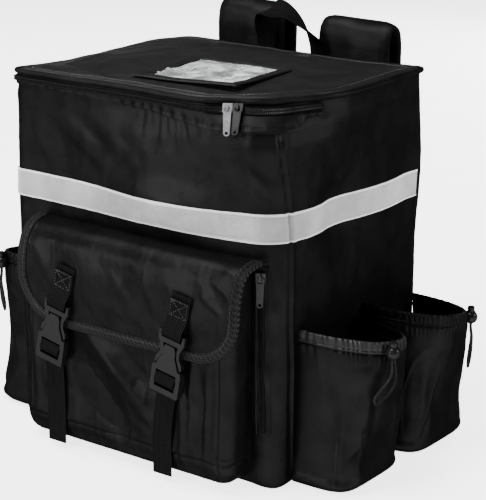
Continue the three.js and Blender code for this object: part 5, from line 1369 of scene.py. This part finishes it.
HANDLE_SPAN = 72.0
HANDLE_RISE = 50.0
HANDLE_X = -3.0
HandleStop = namedtuple("HandleStop", "along out up turn")
HANDLE_ROUTE = [
    HandleStop(-0.5, 0.03, -0.62, 0), HandleStop(-0.5, 0.03, -0.34, 0), HandleStop(-0.5, 0.14, -0.16, 0),
    HandleStop(-0.5, 0.13, 0.16, 3), HandleStop(-0.47, 0.02, 0.56, 25), HandleStop(-0.38, -0.1, 0.86, 58),
    HandleStop(-0.18, -0.2, 1, 86), HandleStop(0.08, -0.2, 0.94, 88), HandleStop(0.28, -0.1, 0.7, 60),
    HandleStop(0.42, 0.02, 0.42, 28), HandleStop(0.5, 0.13, 0.16, 3), HandleStop(0.52, 0.14, -0.16, 0),
    HandleStop(0.52, 0.03, -0.34, 0), HandleStop(0.52, 0.03, -0.62, 0),
]


def build_handle():
    """The carry handle: webbing sewn flat at both feet and turned edge-on at its top."""
    stops = np.array([(HANDLE_X + s.along * HANDLE_SPAN, HALF_DEPTH + s.out * HANDLE_RISE,
                       BODY_HEIGHT + s.up * HANDLE_RISE) for s in HANDLE_ROUTE])
    ahead = unit(np.concatenate([stops[1:2] - stops[:1], stops[2:] - stops[:-2],
                                 stops[-1:] - stops[-2:-1]]))
    turn = np.radians([s.turn for s in HANDLE_ROUTE])[:, None]
    rising = np.where(np.arange(len(stops)) < len(stops) / 2, 1.0, -1.0)[:, None]
    flat = unit(np.array([[1.0, 0, 0]]) * rising - ahead * ahead[:, :1] * rising)
    across = unit(flat * np.cos(turn) + np.cross(ahead, flat) * np.sin(turn))
    capped_piece("handle_webbing", "carry_handle",
                 strap_rings(stops, across, 220, WEBBING_WIDTH, 2.4, 0.2), "webbing")


SHOULDER_WIDTH = 92.0
SHOULDER_THICKNESS = 11.0
STRAP_LOOP_OUT = 43.0
SHOULDER_DROP = 7.0
ShoulderStop = namedtuple("ShoulderStop", "out up width thick")
SHOULDER_ROUTE = [
    ShoulderStop(0.1, 0.84, 0.96, 0.66), ShoulderStop(0.1, 0.9, 0.98, 0.68),
    ShoulderStop(0.22, 0.935, 1, 0.8), ShoulderStop(0.34, 0.972, 1, 1),
    ShoulderStop(0.35, 1.02, 1, 1), ShoulderStop(0.36, 1.065, 1, 1),
    ShoulderStop(0.45, 1.098, 1, 1), ShoulderStop(0.64, 1.112, 1, 1), ShoulderStop(0.82, 1.1, 1, 1),
    ShoulderStop(0.92, 1.065, 1, 1), ShoulderStop(0.93, 1.01, 1, 1), ShoulderStop(0.9, 0.88, 0.97, 1),
    ShoulderStop(0.8, 0.7, 0.92, 1), ShoulderStop(0.66, 0.5, 0.86, 1), ShoulderStop(0.5, 0.34, 0.8, 1),
    ShoulderStop(0.36, 0.27, 0.72, 0.8),
]
ShoulderStrap = namedtuple("ShoulderStrap", "side x hand drop")
SHOULDER_STRAPS = [ShoulderStrap("left", -67, -1, 0), ShoulderStrap("right", 75, 1, SHOULDER_DROP)]
ADJUSTER_HEIGHT = 28.0
ADJUSTER_THICKNESS = 5.0


def build_shoulder_straps():
    """The padded straps: a rounded strip of changing width and thickness carried along a smooth route.

    The webbing below each adjuster runs from it to the foot of the back.
    """
    for side, x, hand, drop in SHOULDER_STRAPS:
        control = np.array([(x, HALF_DEPTH + s.out * STRAP_LOOP_OUT,
                             s.up * BODY_HEIGHT - (drop if s.up > 1.03 else 0),
                             s.width * SHOULDER_WIDTH, s.thick * SHOULDER_THICKNESS)
                            for s in SHOULDER_ROUTE])
        dense = spline(control, 240)
        stops, width, thick = dense[:, :3], dense[:, 3:4], dense[:, 4:5]
        share = np.linspace(-1, 1, 40)[None, :]
        profile = np.clip(1 - np.abs(share) ** 9, 0.16, 1) ** 0.6
        seam = 0.5 * ridge(np.abs(share) - 0.86, 0.03)
        place = stack(share * 40, stops[:, 2:3], hand * 40)
        soft = 0.5 * noise(place, 50, 81)
        half = thick / 2 * profile - seam + soft * profile * 0.8
        top = np.stack([share * width / 2, half], -1)
        under = np.stack([share * width / 2, -half], -1)[:, ::-1]
        section = np.concatenate([under[:, ::-1], top[:, ::-1]], axis=1)
        ahead = tangents(stops)
        across = np.tile([1.0, 0, 0], (len(stops), 1))
        rings = sweep(stops, across, np.cross(across, ahead), section)
        pad = capped_piece(f"padded_strap_{side}", f"shoulder_strap_{side}", rings, "trim")
        end = np.array([x, HALF_DEPTH + SHOULDER_ROUTE[-1].out * STRAP_LOOP_OUT,
                        SHOULDER_ROUTE[-1].up * BODY_HEIGHT])
        top_z = end[2] - SEAT - 1
        behind = end[1] - ADJUSTER_THICKNESS / 2 - SEAT - WEBBING_THICKNESS / 2
        low = np.array([hand * BODY_WIDTH * 0.4, HALF_DEPTH + SEAT + WEBBING_THICKNESS / 2, 22])
        route = np.array([
            (x, end[1], top_z - ADJUSTER_HEIGHT * 0.65), (x, behind, top_z - ADJUSTER_HEIGHT * 0.76),
            (mix(x, low[0], 0.12), behind, top_z - ADJUSTER_HEIGHT - 10),
            (mix(x, low[0], 0.75), mix(behind, low[1], 0.8), 40), low])
        capped_piece(f"lower_webbing_{side}", f"lower_strap_{side}",
                     strap_rings(route, np.tile([1.0, 0, 0], (5, 1)), 120), "webbing")


HARD_PIECES = {
    "nickel": ["zip_left_slider", "zip_left_pull"],
    # The right slider and pull take the darker copy of the nickel, painted shade; the left ones take the
    # bright nickel.
    "gunmetal": ["zip_right_slider", "zip_right_pull", "side_zip_slider"],
    "black_metal": ["side_zip_pull"],
    "plastic": ["clip_plug_left", "clip_plug_right", "clip_socket_left", "clip_socket_right",
                "strap_adjuster_left", "strap_adjuster_right"],
}
CLIP_ROUNDING = 1.6
SMALL_ROUNDING = 0.6


def build_hard_pieces():
    """The part's own clips, sliders, pulls and adjusters, with softened edges."""
    rounding = bpy.context.scene.backpack.edge_rounding
    for finish, name in [(finish, name) for finish, names in HARD_PIECES.items() for name in names]:
        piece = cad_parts[name]
        piece.data.materials.clear()
        piece.data.materials.append(MATERIALS[finish])
        bevel = piece.modifiers.new("soft_edges", "BEVEL")
        bevel.width = rounding * (CLIP_ROUNDING if "clip" in name else SMALL_ROUNDING)
        bevel.segments = 2
        bevel.limit_method = "ANGLE"
        bevel.angle_limit = math.radians(35)


# The stage

def facing(right, up, back, place):
    """The matrix of a camera or lamp whose own axes point these ways, at a place in metres."""
    matrix = np.eye(4)
    matrix[:3] = np.column_stack([right, up, back, place])
    return Matrix(matrix.tolist())


def build_camera():
    """The photograph's camera: turned by yaw and pitch about its place, then rolled about its view."""
    camera = bpy.data.objects.new("camera", bpy.data.cameras.new("camera"))
    level = math.cos(CAMERA_PITCH)
    back = np.array([math.sin(CAMERA_YAW) * level, -math.cos(CAMERA_YAW) * level, math.sin(CAMERA_PITCH)])
    right = unit(np.cross(-back, [0, 0, 1]))
    up = np.cross(right, -back)
    turn_cos, turn_sin = math.cos(CAMERA_ROLL), math.sin(CAMERA_ROLL)
    camera.matrix_world = facing(turn_cos * right + turn_sin * up, -turn_sin * right + turn_cos * up, back,
                                 np.array(CAMERA_PLACE) * MM)
    camera.data.sensor_width = SENSOR
    camera.data.lens = CAMERA_FOCUS_PIXELS * SENSOR / PHOTO_HEIGHT_PIXELS
    bpy.context.scene.collection.objects.link(camera)
    bpy.context.scene.camera = camera


Lamp = namedtuple("Lamp", "name place target size power")
LAMPS = [
    Lamp("top_softbox", (-0.4, -0.6, 2.0), (0, 0, 0.3), 1.0, 110),
    Lamp("front_softbox", (-0.9, -2.2, 1.1), (0, 0, 0.2), 0.6, 80),
    Lamp("right_fill", (2.0, 0.9, 1.1), (0.1, 0, 0.2), 1.0, 58),
    Lamp("back_rim", (-0.3, 2.3, 1.6), (0, 0, 0.35), 1.6, 44),
    Lamp("back_fill", (-0.5, 2.4, 0.7), (0, 0, 0.2), 0.9, 60),
    Lamp("left_fill", (-2.4, 0.5, 0.9), (0, 0, 0.2), 0.9, 55),
]


SURROUND = 0.3
FLOOR_GLOW = 3.2
FLOOR_GREY = 0.5


def build_stage():
    """Camera, a pale floor that glows, white surroundings and soft lamps turned to the bag."""
    build_camera()
    nodes = Nodes("studio_floor")
    nodes.set(Base_Color=(FLOOR_GREY, FLOOR_GREY, FLOOR_GREY, 1), Roughness=0.8,
              Emission_Color=(1, 1, 1, 1), Emission_Strength=FLOOR_GLOW)
    half = bpy.context.scene.backpack.floor_size / 2
    mesh = bpy.data.meshes.new("studio_floor")
    corners = [(-half, -half, 0), (half, -half, 0), (half, half, 0), (-half, half, 0)]
    mesh.from_pydata(corners, [], [(0, 1, 2, 3)])
    mesh.materials.append(nodes.material)
    floor = bpy.data.objects.new("studio_floor", mesh)
    bpy.context.scene.collection.objects.link(floor)
    for lamp in LAMPS:
        data = bpy.data.lights.new(lamp.name, "AREA")
        data.size = lamp.size
        data.energy = lamp.power
        light = bpy.data.objects.new(lamp.name, data)
        back = unit(np.array(lamp.place) - np.array(lamp.target))
        right = unit(np.cross([0, 1, 0.01], back))
        light.matrix_world = facing(right, np.cross(back, right), back, lamp.place)
        bpy.context.scene.collection.objects.link(light)
    world = bpy.data.worlds.new("studio")
    world.use_nodes = True
    background = world.node_tree.nodes["Background"]
    background.inputs["Color"].default_value = (1, 1, 1, 1)
    background.inputs["Strength"].default_value = SURROUND
    bpy.context.scene.world = world


# Operators

def length(name, description, default):
    """A size in metres that a user may change."""
    return bpy.props.FloatProperty(name=name, description=description, default=default, min=0.0,
                                   unit="LENGTH", subtype="DISTANCE")


def colour(name, description, default):
    """A colour that a user may change: the lightest tone of a finish."""
    return bpy.props.FloatVectorProperty(name=name, description=description, default=default, min=0.0,
                                         max=1.0, subtype="COLOR")


class BackpackSettings(bpy.types.PropertyGroup):
    """The sizes and colours that a user would change."""
    floor_size: length("Floor size", "Side of the studio floor", 14.0)
    edge_rounding: length("Edge rounding", "Softness of the edges of hard pieces", 0.0005)
    wall_colour: colour("Walls", "Coated cloth of the box, flap and pockets", (0.0068, 0.0068, 0.0069))
    # Lighter than the walls' colour: painted light on the lid's top and the window border.
    lid_colour: colour("Lid", "Coated cloth of the lid and window border", (0.0175, 0.0175, 0.0178))
    trim_colour: colour("Trim", "Piping, zip tapes and padded straps", (0.0072, 0.0072, 0.0073))
    binding_colour: colour("Binding", "Tape round the flap", (0.0170, 0.0170, 0.0173))
    # Lighter than the walls' colour: a painted sheen on the front right pocket's hem.
    hem_colour: colour("Hem", "Ruched hem of the front cup pocket", (0.0185, 0.0185, 0.0188))
    webbing_colour: colour("Webbing", "Flat woven straps and handle", (0.0085, 0.0085, 0.0087))
    band_colour: colour("Band", "Reflective tape", (0.40, 0.40, 0.41))
    film_colour: colour("Film", "Clear film of the window", (0.46, 0.47, 0.48))
    cord_colour: colour("Cord", "Loops at the cord locks", (0.0200, 0.0200, 0.0204))
    thread_colour: colour("Thread", "Stitches", (0.018, 0.018, 0.0184))
    plastic_colour: colour("Plastic", "Clips, adjusters and cord locks", (0.0121, 0.0121, 0.0124))
    teeth_colour: colour("Zip teeth", "Coils of both zips", (0.0075, 0.0075, 0.0077))
    # A darker copy of the nickel: painted shade on the right slider and pull.
    gunmetal_colour: colour("Dark metal", "Right slider and the upright zip's", (0.023, 0.023, 0.0236))
    nickel_colour: colour("Bright metal", "Left slider and pull", (0.667, 0.667, 0.69))
    black_metal_colour: colour("Black metal", "Pull of the upright zip", (0.0046, 0.0046, 0.0052))


def operator(label, build):
    """An operator class that runs one builder. A builder that can't finish raises its error."""
    def execute(self, context):
        """Builds the piece or group."""
        build()
        return {"FINISHED"}
    name = build.__name__.removeprefix("build_")
    return type(f"BACKPACK_OT_{name}", (bpy.types.Operator,), {
        "__doc__": build.__doc__, "bl_idname": f"backpack.{name}", "bl_label": label, "execute": execute})


OPERATORS = [
    operator("Stage", build_stage),
    operator("Cord locks", build_cord_locks),
    operator("Padded box", build_body),
    operator("Lid", build_lid),
    operator("Lid zip", build_lid_zip),
    operator("Side zip", build_side_zip),
    operator("Reflective band", build_band),
    operator("Front pocket", build_pocket),
    operator("Flap", build_flap),
    operator("Flap straps", build_flap_straps),
    operator("Cup pockets", build_cup_pockets),
    operator("Handle", build_handle),
    operator("Shoulder straps", build_shoulder_straps),
    operator("Hard pieces", build_hard_pieces),
]


class BACKPACK_PT_panel(bpy.types.Panel):
    """Lists the builders in the sidebar"""
    bl_label = "Backpack"
    bl_space_type = "VIEW_3D"
    bl_region_type = "UI"
    bl_category = "Backpack"

    def draw(self, context):
        """Lists the settings, then a button for each builder."""
        for name in BackpackSettings.__annotations__:
            self.layout.prop(context.scene.backpack, name)
        for kind in OPERATORS:
            self.layout.operator(kind.bl_idname)


CLASSES = [BackpackSettings, *OPERATORS, BACKPACK_PT_panel]


def register():
    """Makes the classes known, and the settings a part of the scene."""
    for kind in CLASSES:
        bpy.utils.register_class(kind)
    bpy.types.Scene.backpack = bpy.props.PointerProperty(type=BackpackSettings)


def unregister():
    """Takes back what register did."""
    del bpy.types.Scene.backpack
    for kind in reversed(CLASSES):
        bpy.utils.unregister_class(kind)


def main():
    """Registers the classes, builds every piece in order and writes the sizes before and after."""
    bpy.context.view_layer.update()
    register()
    make_materials(bpy.context.scene.backpack)
    for kind in OPERATORS:
        getattr(bpy.ops.backpack, kind.bl_idname.split(".")[1])()


if __name__ == "__main__":
    main()
